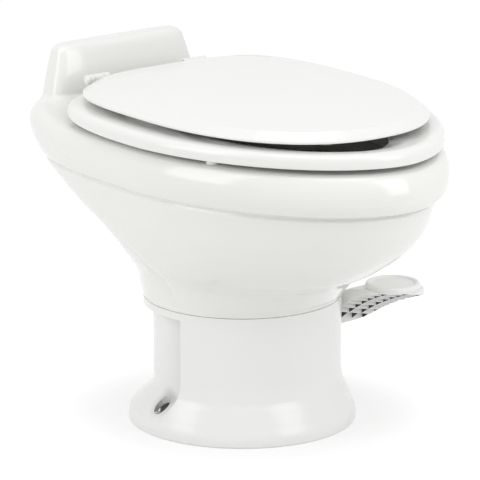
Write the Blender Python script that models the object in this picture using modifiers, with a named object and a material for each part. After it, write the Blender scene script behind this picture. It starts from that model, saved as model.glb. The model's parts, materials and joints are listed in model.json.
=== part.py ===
"""RV toilet with a china bowl, a moulded pedestal and a foot pedal.

The toilet faces -Y and stands on z = 0. Every mesh is laid out from the centre
of the round foot, and the foot_centre empty carries them all, so that the
overall box is centred on the origin. Sizes are in metres.
"""
import math

import bpy
import bmesh
from mathutils import Matrix, Vector

# Overall sizes of the china
BOWL_WIDTH = 0.381
FRONT_REACH = 0.314
REAR_REACH = 0.279
RIM_HEIGHT = 0.363
DECK_THICKNESS = 0.020
CHINA_WALL = 0.010
WIDEST_SETBACK = 0.028
FRONT_SHARPNESS = 0.18
REAR_SQUARENESS = 1.3
SEAM_GAP = 0.0003

# Opening and outlet of the basin
OPENING_WIDTH = 0.256
OPENING_FRONT = 0.262
OPENING_REAR = 0.150
OUTLET_RADIUS = 0.030
OUTLET_FLANGE_RADIUS = 0.060
OUTLET_FLANGE_THICKNESS = 0.008
OUTLET_DROP = 0.0066

# Raised cover at the back of the deck
SHROUD_HEIGHT = 0.068
SHROUD_WIDTH = 0.220
SHROUD_DEPTH = 0.046
SHROUD_INSET = 0.012
SHROUD_SQUARENESS = 5.0

# Pedestal
COLUMN_RADIUS = 0.119
COLUMN_HEIGHT = 0.1543
CORE_RADIUS = 0.107
COLLAR_DEPTH = 0.010
FOOT_RADIUS = 0.137
FOOT_WALL = 0.005
FOOT_PLATE = 0.010
SHELL_EDGE_Y = -0.027
SHELL_CUT_RADIUS = 0.034
WEB_HEIGHT = 0.060
WEB_THICKNESS = 0.004
PIPE_BORE_RADIUS = 0.038
PIPE_WALL = 0.005
CHAMBER_CLEARANCE = 0.004
RIB_COUNT = 10
RIB_THICKNESS = 0.003

# Flush ball, its shaft and the foot pedal
BALL_RADIUS = 0.046
BALL_WALL = 0.005
BALL_HALF_ANGLE = math.radians(43)
BALL_POLE_ANGLE = math.radians(12)
BALL_POLE_STEPS = 10
BALL_WIDTH_STEPS = 6
SHAFT_RADIUS = 0.006
SHAFT_HEIGHT = 0.1095
SHAFT_CLEARANCE = 0.0004
BUSHING_RADIUS = 0.011
BUSHING_FLANGE = 0.015
HUB_RADIUS = 0.018
HUB_CAP_RADIUS = 0.012
PEDAL_LENGTH = 0.144
PEDAL_WIDTH = 0.068
PEDAL_RISE = 0.050
PEDAL_ARM_THICKNESS = 0.0145
PEDAL_CLEARANCE = 0.003
PEDAL_REACH_OUT = 0.150
PEDAL_SKIN = 0.004
PEDAL_RIB = 0.0028
CELLS_START_SHARE = 0.21
CELLS_END_SHARE = 0.81
CELL_ROWS = 6
CELL_COLUMNS = 3
PEDAL_RING_POINTS = 16
PEDAL_SQUARENESS = 4.5
PAD_RADIUS = 0.031
PAD_THICKNESS = 0.006
PAD_LIP = 0.0025
PAD_Y = -0.088

# Return spring
SPRING_RADIUS = 0.0105
SPRING_WIRE_RADIUS = 0.0009
SPRING_TURNS = 5
SPRING_LENGTH = 0.014
SPRING_CURL_POINTS = 10

# Water valve
CAM_WIDTH = 0.008
CAM_X = 0.072
CAM_RADIUS = 0.011
CAM_LIFT = 0.004
PEDAL_SWING = math.radians(55)
CAM_CLEARANCE = 0.0006
PLUNGER_RADIUS = 0.0025
VALVE_WIDTH = 0.022
VALVE_DEPTH = 0.018
VALVE_HEIGHT = 0.026
VALVE_FRONT_Y = 0.037
INLET_RADIUS = 0.008
INLET_BOSS_RADIUS = 0.013
INLET_BOSS_Y = 0.090
INLET_LENGTH = 0.016
INLET_NUT_RADIUS = 0.0125
INLET_NUT_THICKNESS = 0.008
VALVE_SCREW_RADIUS = 0.0035
VALVE_SCREW_THICKNESS = 0.003
HOSE_RADIUS = 0.0065
HOSE_BARB_LENGTH = 0.008
SUPPLY_STEPS = 2
RINSE_STEPS = 3

# Vacuum breaker and rinse nozzle
BREAKER_RADIUS = 0.013
BREAKER_LENGTH = 0.064
BREAKER_PORT_SPACING = 0.044
BREAKER_CAP_RADIUS = 0.011
BREAKER_CAP_THICKNESS = 0.007
NOZZLE_RADIUS = 0.008
NOZZLE_DROP = 0.062
NOZZLE_LENGTH = 0.030

# Seal, clamp and clamp screws between bowl and pedestal
SEAL_THICKNESS = 0.0014
CLAMP_THICKNESS = 0.005
CLAMP_LIP = 0.004
CLAMP_SPLIT = 0.0015
LUG_LENGTH = 0.016
LUG_THICKNESS = 0.008
LUG_HEIGHT = 0.014
CLAMP_SCREW_RADIUS = 0.0025
CLAMP_NUT_RADIUS = 0.0055
CLAMP_NUT_THICKNESS = 0.004

# Floor bolts and floor seal
FLOOR_BOLT_SPACING = 0.245
FLOOR_BOLT_Y = 0.008
FLOOR_BOLT_RADIUS = 0.0035
FLOOR_POCKET_RADIUS = 0.0105
FLOOR_BOSS_WALL = 0.0045
FLOOR_WASHER_RADIUS = 0.009
FLOOR_WASHER_THICKNESS = 0.002
FLOOR_NUT_RADIUS = 0.0075
FLOOR_NUT_THICKNESS = 0.006
FLOOR_BOLT_LENGTH = 0.026
FLOOR_SEAL_WIDTH = 0.014
FLOOR_SEAL_HEIGHT = 0.009

# Seat, lid and their bumpers
SEAT_WIDTH = 0.378
SEAT_FRONT = 0.304
SEAT_REAR = 0.186
SEAT_HOLE_WIDTH = 0.208
SEAT_HOLE_FRONT = 0.236
SEAT_HOLE_REAR = 0.096
SEAT_THICKNESS = 0.0145
SEAT_REAR_POWER = 3.1
SEAT_HOLE_REAR_POWER = 2.4
SEAT_BUMPER_HEIGHT = 0.009
LID_WIDTH = 0.342
LID_FRONT = 0.260
LID_REAR = 0.172
LID_EDGE_THICKNESS = 0.011
LID_CROWN = 0.005
LID_BEVEL = 0.012
LID_FRONT_POWER = 2.25
LID_REAR_POWER = 3.0
LID_CROWN_SHARES = (0.3, 0.55, 0.8)
LID_CROWN_EASE = 0.3
LID_BUMPER_HEIGHT = 0.008
BUMPER_RADIUS = 0.0075
BUMPER_INSET = 0.030

# Seat and lid hinges
HINGE_SPACING = 0.146
HINGE_Y = 0.190
HINGE_RISE = 0.031
KNUCKLE_RADIUS = 0.0078
POST_WIDTH = 0.014
POST_DEPTH = 0.012
POST_BASE_WIDTH = 0.034
POST_BASE_DEPTH = 0.024
POST_BASE_THICKNESS = 0.002
ARM_WIDTH = 0.0082
ARM_THICKNESS = 0.003
LID_ARM_REACH = 0.044
SEAT_ARM_REACH = 0.040
KNUCKLE_GAP = 0.0004
PIN_RADIUS = 0.0035
HINGE_BOLT_RADIUS = 0.004
HINGE_BOLT_LENGTH = 0.036
HINGE_WASHER_RADIUS = 0.011
HINGE_WASHER_THICKNESS = 0.0016
WING_NUT_RADIUS = 0.008
WING_NUT_THICKNESS = 0.008
WING_LENGTH = 0.013

# Fit and build values
TOUCH = 0.0003
HOLE_CLEARANCE = 0.001
CUT_OVERRUN = 0.012
EDGE_ROUND = 0.002
WELD = 0.00005
RING_POINTS = 36
TURN_STEPS = 36
SEAL_STEPS = 32
BOSS_STEPS = 24
WASHER_STEPS = 20
SMALL_STEPS = 16
SCREW_STEPS = 12
HEX_SIDES = 6

# Height, width, front and rear shares of the outer china, from collar to rim
OUTER_SHARES = (
    (0.0, 0.0, 0.0, 0.0),
    (0.05, 0.076, 0.119, 0.02),
    (0.12, 0.156, 0.275, 0.033),
    (0.21, 0.25, 0.385, 0.048),
    (0.30, 0.395, 0.479, 0.084),
    (0.38, 0.545, 0.614, 0.156),
    (0.455, 0.655, 0.718, 0.285),
    (0.55, 0.755, 0.808, 0.523),
    (0.645, 0.80, 0.864, 0.732),
    (0.733, 0.84, 0.892, 0.86),
    (0.748, 0.836, 0.892, 0.86),
    (0.763, 0.885, 0.937, 0.88),
    (0.79, 0.93, 0.979, 0.90),
    (0.848, 0.985, 0.998, 0.938),
    (0.905, 1.0, 1.0, 0.985),
    (0.957, 0.985, 0.985, 1.0),
    (0.986, 0.94, 0.96, 0.985),
    (1.0, 0.86, 0.925, 0.93),
)

# Height, width, front and rear shares of the basin, from the rim to the outlet
BASIN_SHARES = (
    (1.0, 1.03, 1.02, 1.03),
    (0.977, 1.0, 1.0, 1.0),
    (0.894, 0.985, 0.99, 0.985),
    (0.871, 1.03, 1.02, 1.03),
    (0.816, 1.02, 1.01, 1.02),
    (0.654, 0.90, 0.90, 0.78),
    (0.493, 0.714, 0.733, 0.55),
    (0.355, 0.47, 0.517, 0.333),
    (0.24, 0.245, 0.293, 0.183),
    (0.157, 0.10, 0.095, 0.083),
    (0.092, 0.02, 0.02, 0.02),
    (0.0, 0.0, 0.0, 0.0),
)
BASIN_SHELL_TOP_SHARE = 0.80

# Bends of the supply hose between the water valve and the back of the basin
SUPPLY_BENDS = (
    (0.05475, 0.075, 0.1946),
    (0.0375, 0.105, 0.2246),
    (0.0375, 0.140, 0.263),
)

# Height, width, front and back shares of the raised cover
SHROUD_SHARES = (
    (-0.19, 1.12, 1.22, 0.03),
    (0.0, 1.06, 1.08, 0.0),
    (0.14, 1.0, 1.0, -0.01),
    (0.48, 0.945, 0.92, -0.02),
    (0.82, 0.885, 0.81, -0.05),
    (0.94, 0.855, 0.74, -0.10),
    (0.985, 0.80, 0.64, -0.19),
    (1.0, 0.72, 0.50, -0.32),
)

# Position along, half width, top and bottom of the pedal, as shares
PEDAL_SHARES = (
    (0.06, 0.19, 0.30, -0.30),
    (0.20, 0.24, 0.36, -0.28),
    (0.32, 0.45, 0.44, -0.06),
    (0.45, 0.85, 0.70, 0.20),
    (0.58, 1.0, 0.88, 0.42),
    (0.74, 1.0, 0.94, 0.68),
    (0.88, 0.84, 0.97, 0.84),
    (0.96, 0.52, 0.98, 0.90),
    (1.0, 0.22, 0.97, 0.93),
)

# Across and height shares of the seat ring's section
SEAT_SECTION_SHARES = (
    (0.03, 0.0),
    (0.0, 0.14),
    (0.005, 0.55),
    (0.05, 0.82),
    (0.17, 0.97),
    (0.40, 1.0),
    (0.70, 0.86),
    (0.92, 0.55),
    (1.0, 0.22),
    (0.97, 0.0),
)

FOOT_Y = (FRONT_REACH - REAR_REACH) / 2
SEAM_HEIGHT = COLUMN_HEIGHT + SEAM_GAP
OUTLET_HEIGHT = SEAM_HEIGHT - OUTLET_DROP
CEILING_HEIGHT = RIM_HEIGHT - DECK_THICKNESS
CHAMBER_RADIUS = BALL_RADIUS + CHAMBER_CLEARANCE
CHAMBER_OUTER = CHAMBER_RADIUS + PIPE_WALL
SEAT_BOTTOM = RIM_HEIGHT + SEAT_BUMPER_HEIGHT
SEAT_TOP = SEAT_BOTTOM + SEAT_THICKNESS
LID_BOTTOM = SEAT_TOP + LID_BUMPER_HEIGHT
HINGE_HEIGHT = RIM_HEIGHT + HINGE_RISE
SHROUD_BACK = REAR_REACH - SHROUD_INSET


class Look:
    """Colour, roughness and metallic value of one finish."""

    finishes = {
        "china": ((0.84, 0.84, 0.82), 0.08, 0.0),
        "seat_plastic": ((0.86, 0.86, 0.84), 0.16, 0.0),
        "pedestal_plastic": ((0.85, 0.85, 0.84), 0.2, 0.0),
        "pedal_plastic": ((0.80, 0.80, 0.78), 0.3, 0.0),
        "valve_plastic": ((0.09, 0.09, 0.1), 0.4, 0.0),
        "rubber": ((0.06, 0.06, 0.06), 0.7, 0.0),
        "steel": ((0.62, 0.62, 0.63), 0.3, 1.0),
        "clear_hose": ((0.70, 0.71, 0.70), 0.3, 0.0),
    }

    @staticmethod
    def of(name, finish):
        """Return a new material for the named sub-part."""
        colour, roughness, metallic = Look.finishes[finish]
        material = bpy.data.materials.new(name + "_" + finish)
        material.use_nodes = True
        shader = material.node_tree.nodes["Principled BSDF"]
        shader.inputs["Base Color"].default_value = (*colour, 1.0)
        shader.inputs["Roughness"].default_value = roughness
        shader.inputs["Metallic"].default_value = metallic
        return material


class Stage:
    """Collections and carrying empties of the toilet."""

    parts = None
    cutters = None
    foot = None
    seat_axis = None
    lid_axis = None
    pedal_axis = None
    plunger_axis = None


def clear_scene():
    """Remove every object and set up the collections and empties."""
    for item in list(bpy.data.objects):
        bpy.data.objects.remove(item, do_unlink=True)
    Stage.parts = bpy.data.collections.new("rv_toilet")
    Stage.cutters = bpy.data.collections.new("cutters")
    scene_root = bpy.context.scene.collection
    scene_root.children.link(Stage.parts)
    scene_root.children.link(Stage.cutters)
    Stage.foot = new_empty("foot_centre", Vector((0, FOOT_Y, 0)), None)
    hinge = Vector((0, HINGE_Y, HINGE_HEIGHT))
    Stage.seat_axis = new_empty("seat_axis", hinge, Stage.foot)
    Stage.lid_axis = new_empty("lid_axis", Vector((0, 0, 0)), Stage.seat_axis)
    Stage.pedal_axis = new_empty("pedal_axis", Vector((0, 0, SHAFT_HEIGHT)), Stage.foot)
    plunger = Vector((CAM_X, VALVE_FRONT_Y, SHAFT_HEIGHT))
    Stage.plunger_axis = new_empty("plunger_axis", plunger, Stage.foot)


def new_empty(name, place, parent):
    """Make an empty that carries parts; the place is in its parent's axes."""
    empty = bpy.data.objects.new(name, None)
    Stage.parts.objects.link(empty)
    empty.parent = parent
    empty.location = place
    return empty


def place_part(item, carrier, finish):
    """Put a part that is laid out from the foot centre on its carrier."""
    Stage.parts.objects.link(item)
    item.parent = carrier
    offset = Vector((0, 0, 0))
    step = carrier
    while step is not Stage.foot:
        offset += step.location
        step = step.parent
    item.location = item.location - offset
    item.data.materials.clear()
    item.data.materials.append(Look.of(item.name, finish))
    return item


def place_cutter(item):
    """Put a cutter or an operand on the foot centre, out of the build."""
    Stage.cutters.objects.link(item)
    item.parent = Stage.foot
    item.display_type = "WIRE"
    item.hide_render = True
    return item


def mesh_object(name, shape):
    """Turn a bmesh into an object with smooth faces and sharp edges."""
    bmesh.ops.recalc_face_normals(shape, faces=shape.faces)
    mesh = bpy.data.meshes.new(name)
    shape.to_mesh(mesh)
    shape.free()
    mesh.shade_smooth()
    mesh.set_sharp_from_angle(angle=math.radians(35))
    return bpy.data.objects.new(name, mesh)


def loft(name, rings, closed):
    """Skin rings of equal count; closed joins the last ring to the first."""
    shape = bmesh.new()
    rows = [[shape.verts.new(point) for point in ring] for ring in rings]
    count = len(rings[0])
    pairs = list(zip(rows, rows[1:]))
    if closed:
        pairs.append((rows[-1], rows[0]))
    else:
        shape.faces.new(rows[0])
        shape.faces.new(rows[-1])
    for low, high in pairs:
        for i in range(count):
            j = (i + 1) % count
            shape.faces.new((low[i], low[j], high[j], high[i]))
    return mesh_object(name, shape)


def turned(name, profile, steps=TURN_STEPS):
    """Turn a closed outline of (radius, height) points about Z."""
    mesh = bpy.data.meshes.new(name)
    points = [(radius, 0, height) for radius, height in profile]
    count = len(points)
    mesh.from_pydata(points, [(i, (i + 1) % count) for i in range(count)], [])
    item = bpy.data.objects.new(name, mesh)
    screw = item.modifiers.new("turn", "SCREW")
    screw.axis = "Z"
    screw.angle = math.tau
    screw.steps = steps
    screw.render_steps = steps
    screw.use_merge_vertices = True
    screw.merge_threshold = WELD
    screw.use_smooth_shade = True
    return item


def ring_profile(outer, inner, bottom, top):
    """Outline of a plain ring, down its outer side and up its inner side."""
    return ((outer, top), (outer, bottom), (inner, bottom), (inner, top))


def rod(name, start, end, radius, steps=SMALL_STEPS):
    """Make a capped cylinder between two points."""
    shape = bmesh.new()
    start, end = Vector(start), Vector(end)
    axis = end - start
    turn = axis.to_track_quat("Z", "Y").to_matrix().to_4x4()
    matrix = Matrix.Translation((start + end) / 2) @ turn
    bmesh.ops.create_cone(
        shape, cap_ends=True, segments=steps, radius1=radius, radius2=radius,
        depth=axis.length, matrix=matrix)
    return mesh_object(name, shape)


def box(name, low, high, edge=0.0):
    """Make a box between two corners, with rounded edges if edge is set."""
    low, high = Vector(low), Vector(high)
    shape = bmesh.new()
    size = Matrix.Diagonal((*(high - low), 1))
    bmesh.ops.create_cube(shape, size=1, matrix=Matrix.Translation((low + high) / 2) @ size)
    item = mesh_object(name, shape)
    if edge:
        bevel = item.modifiers.new("round", "BEVEL")
        bevel.width = edge
        bevel.segments = 2
    return item


def boolean(item, operand, operation):
    """Add an exact Boolean with a cutter or a joined operand."""
    if not operand.users_collection:
        place_cutter(operand)
    step = item.modifiers.new(operation.lower(), "BOOLEAN")
    step.operation = operation
    step.solver = "EXACT"
    step.object = operand


def cut(item, operand):
    """Cut an operand out of an item."""
    boolean(item, operand, "DIFFERENCE")


def join(item, operand):
    """Join an operand to an item."""
    boolean(item, operand, "UNION")


def lie_along_x(item, place):
    """Lay an item that was turned about Z along X, from the given place."""
    item.rotation_euler = (0, math.radians(90), 0)
    item.location = place
    return item


def plan_ring(width, front, rear, widest, height, front_power=2.0, rear_power=2.0):
    """Plan outline from two half superellipses that meet at the widest line."""
    points = []
    for i in range(RING_POINTS):
        angle = math.tau * i / RING_POINTS
        across, along = math.cos(angle), math.sin(angle)
        power = rear_power if along > 0 else front_power
        reach = rear - widest if along > 0 else front + widest
        x = width * math.copysign(abs(across) ** (2 / power), across)
        y = widest + reach * math.copysign(abs(along) ** (2 / power), along)
        points.append((x, y, height))
    return points


def outer_ring(shares, inset=0.0, height=None):
    """One ring of the outer china, which grows from the collar circle."""
    height_share, width_share, front_share, rear_share = shares
    if height is None:
        height = SEAM_HEIGHT + height_share * (RIM_HEIGHT - SEAM_HEIGHT)
    width = COLUMN_RADIUS + width_share * (BOWL_WIDTH / 2 - COLUMN_RADIUS) - inset
    front = COLUMN_RADIUS + front_share * (FRONT_REACH - COLUMN_RADIUS) - inset
    rear = COLUMN_RADIUS + rear_share * (REAR_REACH - COLUMN_RADIUS) - inset
    widest = -WIDEST_SETBACK * rear_share
    front_power = 2 - FRONT_SHARPNESS * rear_share
    rear_power = 2 + REAR_SQUARENESS * rear_share
    return plan_ring(width, front, rear, widest, height, front_power, rear_power)


def basin_ring(shares, outset=0.0, drop=0.0, height=None):
    """One ring of the basin, which narrows to the round outlet."""
    height_share, width_share, front_share, rear_share = shares
    if height is None:
        height = OUTLET_HEIGHT + height_share * (RIM_HEIGHT - OUTLET_HEIGHT) - drop
    width = OUTLET_RADIUS + width_share * (OPENING_WIDTH / 2 - OUTLET_RADIUS) + outset
    front = OUTLET_RADIUS + front_share * (OPENING_FRONT - OUTLET_RADIUS) + outset
    rear = OUTLET_RADIUS + rear_share * (OPENING_REAR - OUTLET_RADIUS) + outset
    widest = -WIDEST_SETBACK * rear_share
    return plan_ring(width, front, rear, widest, height, rear_power=2 + rear_share / 2)


def round_ring(radius, height):
    """A circle with the same point count as the plan rings."""
    return plan_ring(radius, radius, radius, 0, height)


def china_rings():
    """Rings round the china's wall, from the collar and back to it."""
    rings = [outer_ring(shares) for shares in OUTER_SHARES]
    rings += [basin_ring(shares) for shares in BASIN_SHARES]
    flange_top = OUTLET_HEIGHT + OUTLET_FLANGE_THICKNESS
    rings.append(round_ring(OUTLET_FLANGE_RADIUS, OUTLET_HEIGHT))
    rings.append(round_ring(OUTLET_FLANGE_RADIUS, flange_top))
    rings.append(round_ring(OUTLET_RADIUS + CHINA_WALL, flange_top))
    shell = [shares for shares in BASIN_SHARES if 0 < shares[0] < BASIN_SHELL_TOP_SHARE]
    for shares in shell[-2::-2]:
        rings.append(basin_ring(shares, CHINA_WALL, CHINA_WALL / 2))
    rings.append(basin_ring(BASIN_SHARES[3], CHINA_WALL, height=CEILING_HEIGHT))
    rings.append(outer_ring(OUTER_SHARES[14], CHINA_WALL, CEILING_HEIGHT))
    for shares in OUTER_SHARES[12::-2]:
        rings.append(outer_ring(shares, CHINA_WALL))
    return rings


def shroud_ring(shares):
    """One rounded outline of the raised cover behind the seat."""
    height_share, width_share, front_share, back_share = shares
    height = RIM_HEIGHT + height_share * SHROUD_HEIGHT
    front = SHROUD_BACK - front_share * SHROUD_DEPTH
    back = SHROUD_BACK + back_share * SHROUD_DEPTH
    middle = (front + back) / 2
    width = width_share * SHROUD_WIDTH / 2
    power = SHROUD_SQUARENESS
    return plan_ring(width, -front, back, middle, height, power, power)


def breaker_place():
    """Centre of the vacuum breaker in the hollow of the raised cover."""
    depth = SHROUD_BACK - SHROUD_DEPTH / 2 + BREAKER_RADIUS / 2
    return Vector((0, depth, RIM_HEIGHT + SHROUD_HEIGHT / 2))


def shroud_hollow():
    """Cutter for the hollow that opens at the back of the raised cover."""
    middle = breaker_place()
    half = Vector((BREAKER_LENGTH / 2 + CHINA_WALL * 2, BREAKER_RADIUS, SHROUD_HEIGHT / 2 - CHINA_WALL))
    room = Vector((0, HOLE_CLEARANCE, 0))
    low = middle - half - room
    high = middle + half
    high.y = REAR_REACH + CUT_OVERRUN
    return box("shroud_hollow", low, high, EDGE_ROUND)


def make_bowl():
    """China bowl: basin, rim band, skirt, deck and raised cover in one piece."""
    bowl = loft("bowl", china_rings(), True)
    join(bowl, loft("shroud", [shroud_ring(shares) for shares in SHROUD_SHARES], False))
    cut(bowl, shroud_hollow())
    for side in (-1, 1):
        cut(bowl, rod("hinge_hole", hinge_point(side, CEILING_HEIGHT - CUT_OVERRUN),
                      hinge_point(side, RIM_HEIGHT + CUT_OVERRUN),
                      HINGE_BOLT_RADIUS + HOLE_CLEARANCE))
        port = breaker_place() + Vector((side * BREAKER_PORT_SPACING / 2, 0, 0))
        low = Vector((port.x, port.y, CEILING_HEIGHT - CUT_OVERRUN))
        cut(bowl, rod("hose_hole", low, port, HOSE_RADIUS + HOLE_CLEARANCE * 2))
    start, end = nozzle_ends()
    reach = Vector((0, CUT_OVERRUN, 0))
    cut(bowl, rod("nozzle_hole", start - reach, end + reach,
                  NOZZLE_RADIUS + SHAFT_CLEARANCE))
    place_part(bowl, Stage.foot, "china")


def hinge_point(side, height):
    """Point on a hinge post's centre line."""
    return Vector((side * HINGE_SPACING / 2, HINGE_Y, height))


def nozzle_ends():
    """Front and back end of the rinse nozzle in the basin's rear wall."""
    height = RIM_HEIGHT - NOZZLE_DROP
    start = Vector((0, OPENING_REAR - CHINA_WALL * 2, height))
    return start, start + Vector((0, NOZZLE_LENGTH, 0))


def make_rinse_nozzle():
    """Nozzle through the basin's rear wall that wets the bowl."""
    start, end = nozzle_ends()
    nozzle = rod("rinse_nozzle", start, end, NOZZLE_RADIUS)
    place_part(nozzle, Stage.foot, "valve_plastic")


def core_line():
    """Surface of the inner column and foot, seen in the side recess."""
    grow = FOOT_RADIUS - CORE_RADIUS
    return (
        (CORE_RADIUS, COLUMN_HEIGHT - COLLAR_DEPTH),
        (CORE_RADIUS, WEB_HEIGHT * 3 / 4),
        (CORE_RADIUS + grow / 8, WEB_HEIGHT * 2 / 3),
        (CORE_RADIUS + grow / 2, WEB_HEIGHT / 2),
        (CORE_RADIUS + grow * 5 / 6, WEB_HEIGHT / 3),
        (CORE_RADIUS + grow * 7 / 6, WEB_HEIGHT / 6),
    )


def pedestal_profile():
    """Closed outline of the column, foot, web, chamber and waste pipe."""
    inner = CORE_RADIUS - FOOT_WALL
    top = COLUMN_HEIGHT
    web_top = WEB_HEIGHT + WEB_THICKNESS
    flange_top = OUTLET_HEIGHT - SEAL_THICKNESS - TOUCH * 2
    flange_bottom = flange_top - OUTLET_FLANGE_THICKNESS
    grow = FOOT_RADIUS - COLUMN_RADIUS
    return (
        (COLUMN_RADIUS, top),
        (COLUMN_RADIUS, WEB_HEIGHT * 7 / 6),
        (COLUMN_RADIUS + grow / 8, WEB_HEIGHT * 5 / 6),
        (COLUMN_RADIUS + grow * 2 / 5, WEB_HEIGHT * 2 / 3),
        (COLUMN_RADIUS + grow * 3 / 4, WEB_HEIGHT * 2 / 5),
        (FOOT_RADIUS, WEB_HEIGHT / 8),
        (FOOT_RADIUS, 0),
        (FOOT_RADIUS - FOOT_WALL, 0),
        (FOOT_RADIUS - FOOT_WALL * 3, WEB_HEIGHT / 3),
        (inner, WEB_HEIGHT * 2 / 3),
        (inner, WEB_HEIGHT),
        (CHAMBER_OUTER, WEB_HEIGHT),
        (PIPE_BORE_RADIUS + PIPE_WALL, WEB_HEIGHT * 5 / 8),
        (PIPE_BORE_RADIUS + PIPE_WALL, WEB_THICKNESS / 2),
        (PIPE_BORE_RADIUS, WEB_THICKNESS / 2),
        (PIPE_BORE_RADIUS, WEB_HEIGHT * 2 / 3),
        (CHAMBER_RADIUS, web_top),
        (CHAMBER_RADIUS, flange_bottom),
        (OUTLET_RADIUS + CHINA_WALL / 2, flange_top - OUTLET_FLANGE_THICKNESS / 2),
        (OUTLET_RADIUS + CHINA_WALL / 2, flange_top),
        (OUTLET_FLANGE_RADIUS, flange_top),
        (OUTLET_FLANGE_RADIUS, flange_bottom),
        (CHAMBER_OUTER, flange_bottom - PIPE_WALL),
        (CHAMBER_OUTER, web_top),
        (inner, web_top),
        (inner, top - COLLAR_DEPTH),
        (CORE_RADIUS, top - COLLAR_DEPTH / 2),
        (CORE_RADIUS, top),
    )


def side_recess():
    """Cutter that leaves the inner column bare at the sides and back."""
    line = core_line()
    reach = FOOT_RADIUS + CUT_OVERRUN
    recess = turned("side_recess", ((reach, line[0][1]), (reach, line[-1][1]), *line[::-1]))
    back = box("side_recess_part", (-reach, SHELL_EDGE_Y, WEB_THICKNESS),
               (reach, reach, COLUMN_HEIGHT + CUT_OVERRUN))
    bevel = back.modifiers.new("round", "BEVEL")
    bevel.width = SHELL_CUT_RADIUS
    bevel.segments = 4
    bevel.limit_method = "WEIGHT"
    weights = back.data.attributes.new("bevel_weight_edge", "FLOAT", "EDGE")
    for edge in back.data.edges:
        ends = [back.data.vertices[i].co for i in edge.vertices]
        low_front = all(co.y < 0 and co.z < COLUMN_HEIGHT / 2 for co in ends)
        weights.data[edge.index].value = 1.0 if low_front else 0.0
    boolean(recess, back, "INTERSECT")
    return place_cutter(recess)


def foot_ribs():
    """Radial ribs under the web, from the chamber to the foot's wall."""
    ribs = []
    inner = CHAMBER_OUTER - PIPE_WALL / 2
    outer = CORE_RADIUS - FOOT_WALL / 2
    for i in range(RIB_COUNT):
        half = RIB_THICKNESS / 2
        rib = box("foot_rib", (inner, -half, FLOOR_SEAL_HEIGHT + HOLE_CLEARANCE),
                  (outer, half, WEB_HEIGHT + WEB_THICKNESS / 2))
        rib.rotation_euler = (0, 0, math.tau * (i + 0.5) / RIB_COUNT)
        ribs.append(rib)
    return ribs


def floor_bolt_point(side, height):
    """Point on the centre line of a floor bolt."""
    return Vector((side * FLOOR_BOLT_SPACING / 2, FLOOR_BOLT_Y, height))


def foot_envelope():
    """Solid just inside the foot's surface, which trims the floor bosses."""
    inside = [(radius - HOLE_CLEARANCE, height) for radius, height in core_line()]
    return turned("foot_envelope", (
        (0, WEB_HEIGHT), *inside[1:5],
        (FOOT_RADIUS - HOLE_CLEARANCE * 2, FOOT_PLATE * 3 / 4),
        (FOOT_RADIUS - HOLE_CLEARANCE * 2, WEB_THICKNESS / 2), (0, WEB_THICKNESS / 2)))


def add_floor_pockets(pedestal):
    """Pocket, boss and hole for each of the two floor bolts."""
    boss_radius = FLOOR_POCKET_RADIUS + FLOOR_BOSS_WALL
    top = WEB_HEIGHT
    for side in (-1, 1):
        boss = rod("floor_boss", floor_bolt_point(side, 0), floor_bolt_point(side, top),
                   boss_radius, BOSS_STEPS)
        boolean(boss, foot_envelope(), "INTERSECT")
        join(pedestal, boss)
        cut(pedestal, rod("floor_pocket", floor_bolt_point(side, FOOT_PLATE),
                          floor_bolt_point(side, top + CUT_OVERRUN), FLOOR_POCKET_RADIUS, BOSS_STEPS))
        cut(pedestal, rod("floor_hole", floor_bolt_point(side, -CUT_OVERRUN),
                          floor_bolt_point(side, FOOT_PLATE + CUT_OVERRUN),
                          FLOOR_BOLT_RADIUS + HOLE_CLEARANCE))


def make_pedestal():
    """Moulded pedestal: column, foot, ball chamber and waste pipe."""
    pedestal = turned("pedestal", pedestal_profile())
    cut(pedestal, side_recess())
    for rib in foot_ribs():
        join(pedestal, rib)
    shelf_low = (CAM_X - VALVE_WIDTH / 2, VALVE_FRONT_Y, WEB_HEIGHT + WEB_THICKNESS / 2)
    valve_back = VALVE_FRONT_Y + VALVE_DEPTH
    shelf_high = (CAM_X + VALVE_WIDTH / 2 - FOOT_WALL, valve_back, valve_bottom() - TOUCH)
    join(pedestal, box("valve_shelf", shelf_low, shelf_high))
    join(pedestal, rod("inlet_boss", (CAM_X, valve_back + FOOT_WALL * 2, SHAFT_HEIGHT),
                       (CAM_X, INLET_BOSS_Y, SHAFT_HEIGHT), INLET_BOSS_RADIUS, BOSS_STEPS))
    cut(pedestal, rod("inlet_hole", (CAM_X, valve_back, SHAFT_HEIGHT),
                      (CAM_X, INLET_BOSS_Y + CUT_OVERRUN, SHAFT_HEIGHT),
                      INLET_RADIUS + SHAFT_CLEARANCE, BOSS_STEPS))
    cut(pedestal, rod("bushing_hole", (CHAMBER_OUTER + CUT_OVERRUN, 0, SHAFT_HEIGHT),
                      (CORE_RADIUS + CUT_OVERRUN, 0, SHAFT_HEIGHT), BUSHING_RADIUS + TOUCH, BOSS_STEPS))
    reach = CHAMBER_OUTER + CUT_OVERRUN / 2
    cut(pedestal, rod("shaft_hole", (-reach, 0, SHAFT_HEIGHT), (reach, 0, SHAFT_HEIGHT),
                      SHAFT_RADIUS + SHAFT_CLEARANCE))
    add_floor_pockets(pedestal)
    place_part(pedestal, Stage.foot, "pedestal_plastic")


def valve_bottom():
    """Height of the water valve's underside."""
    return SHAFT_HEIGHT - VALVE_HEIGHT / 2


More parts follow.
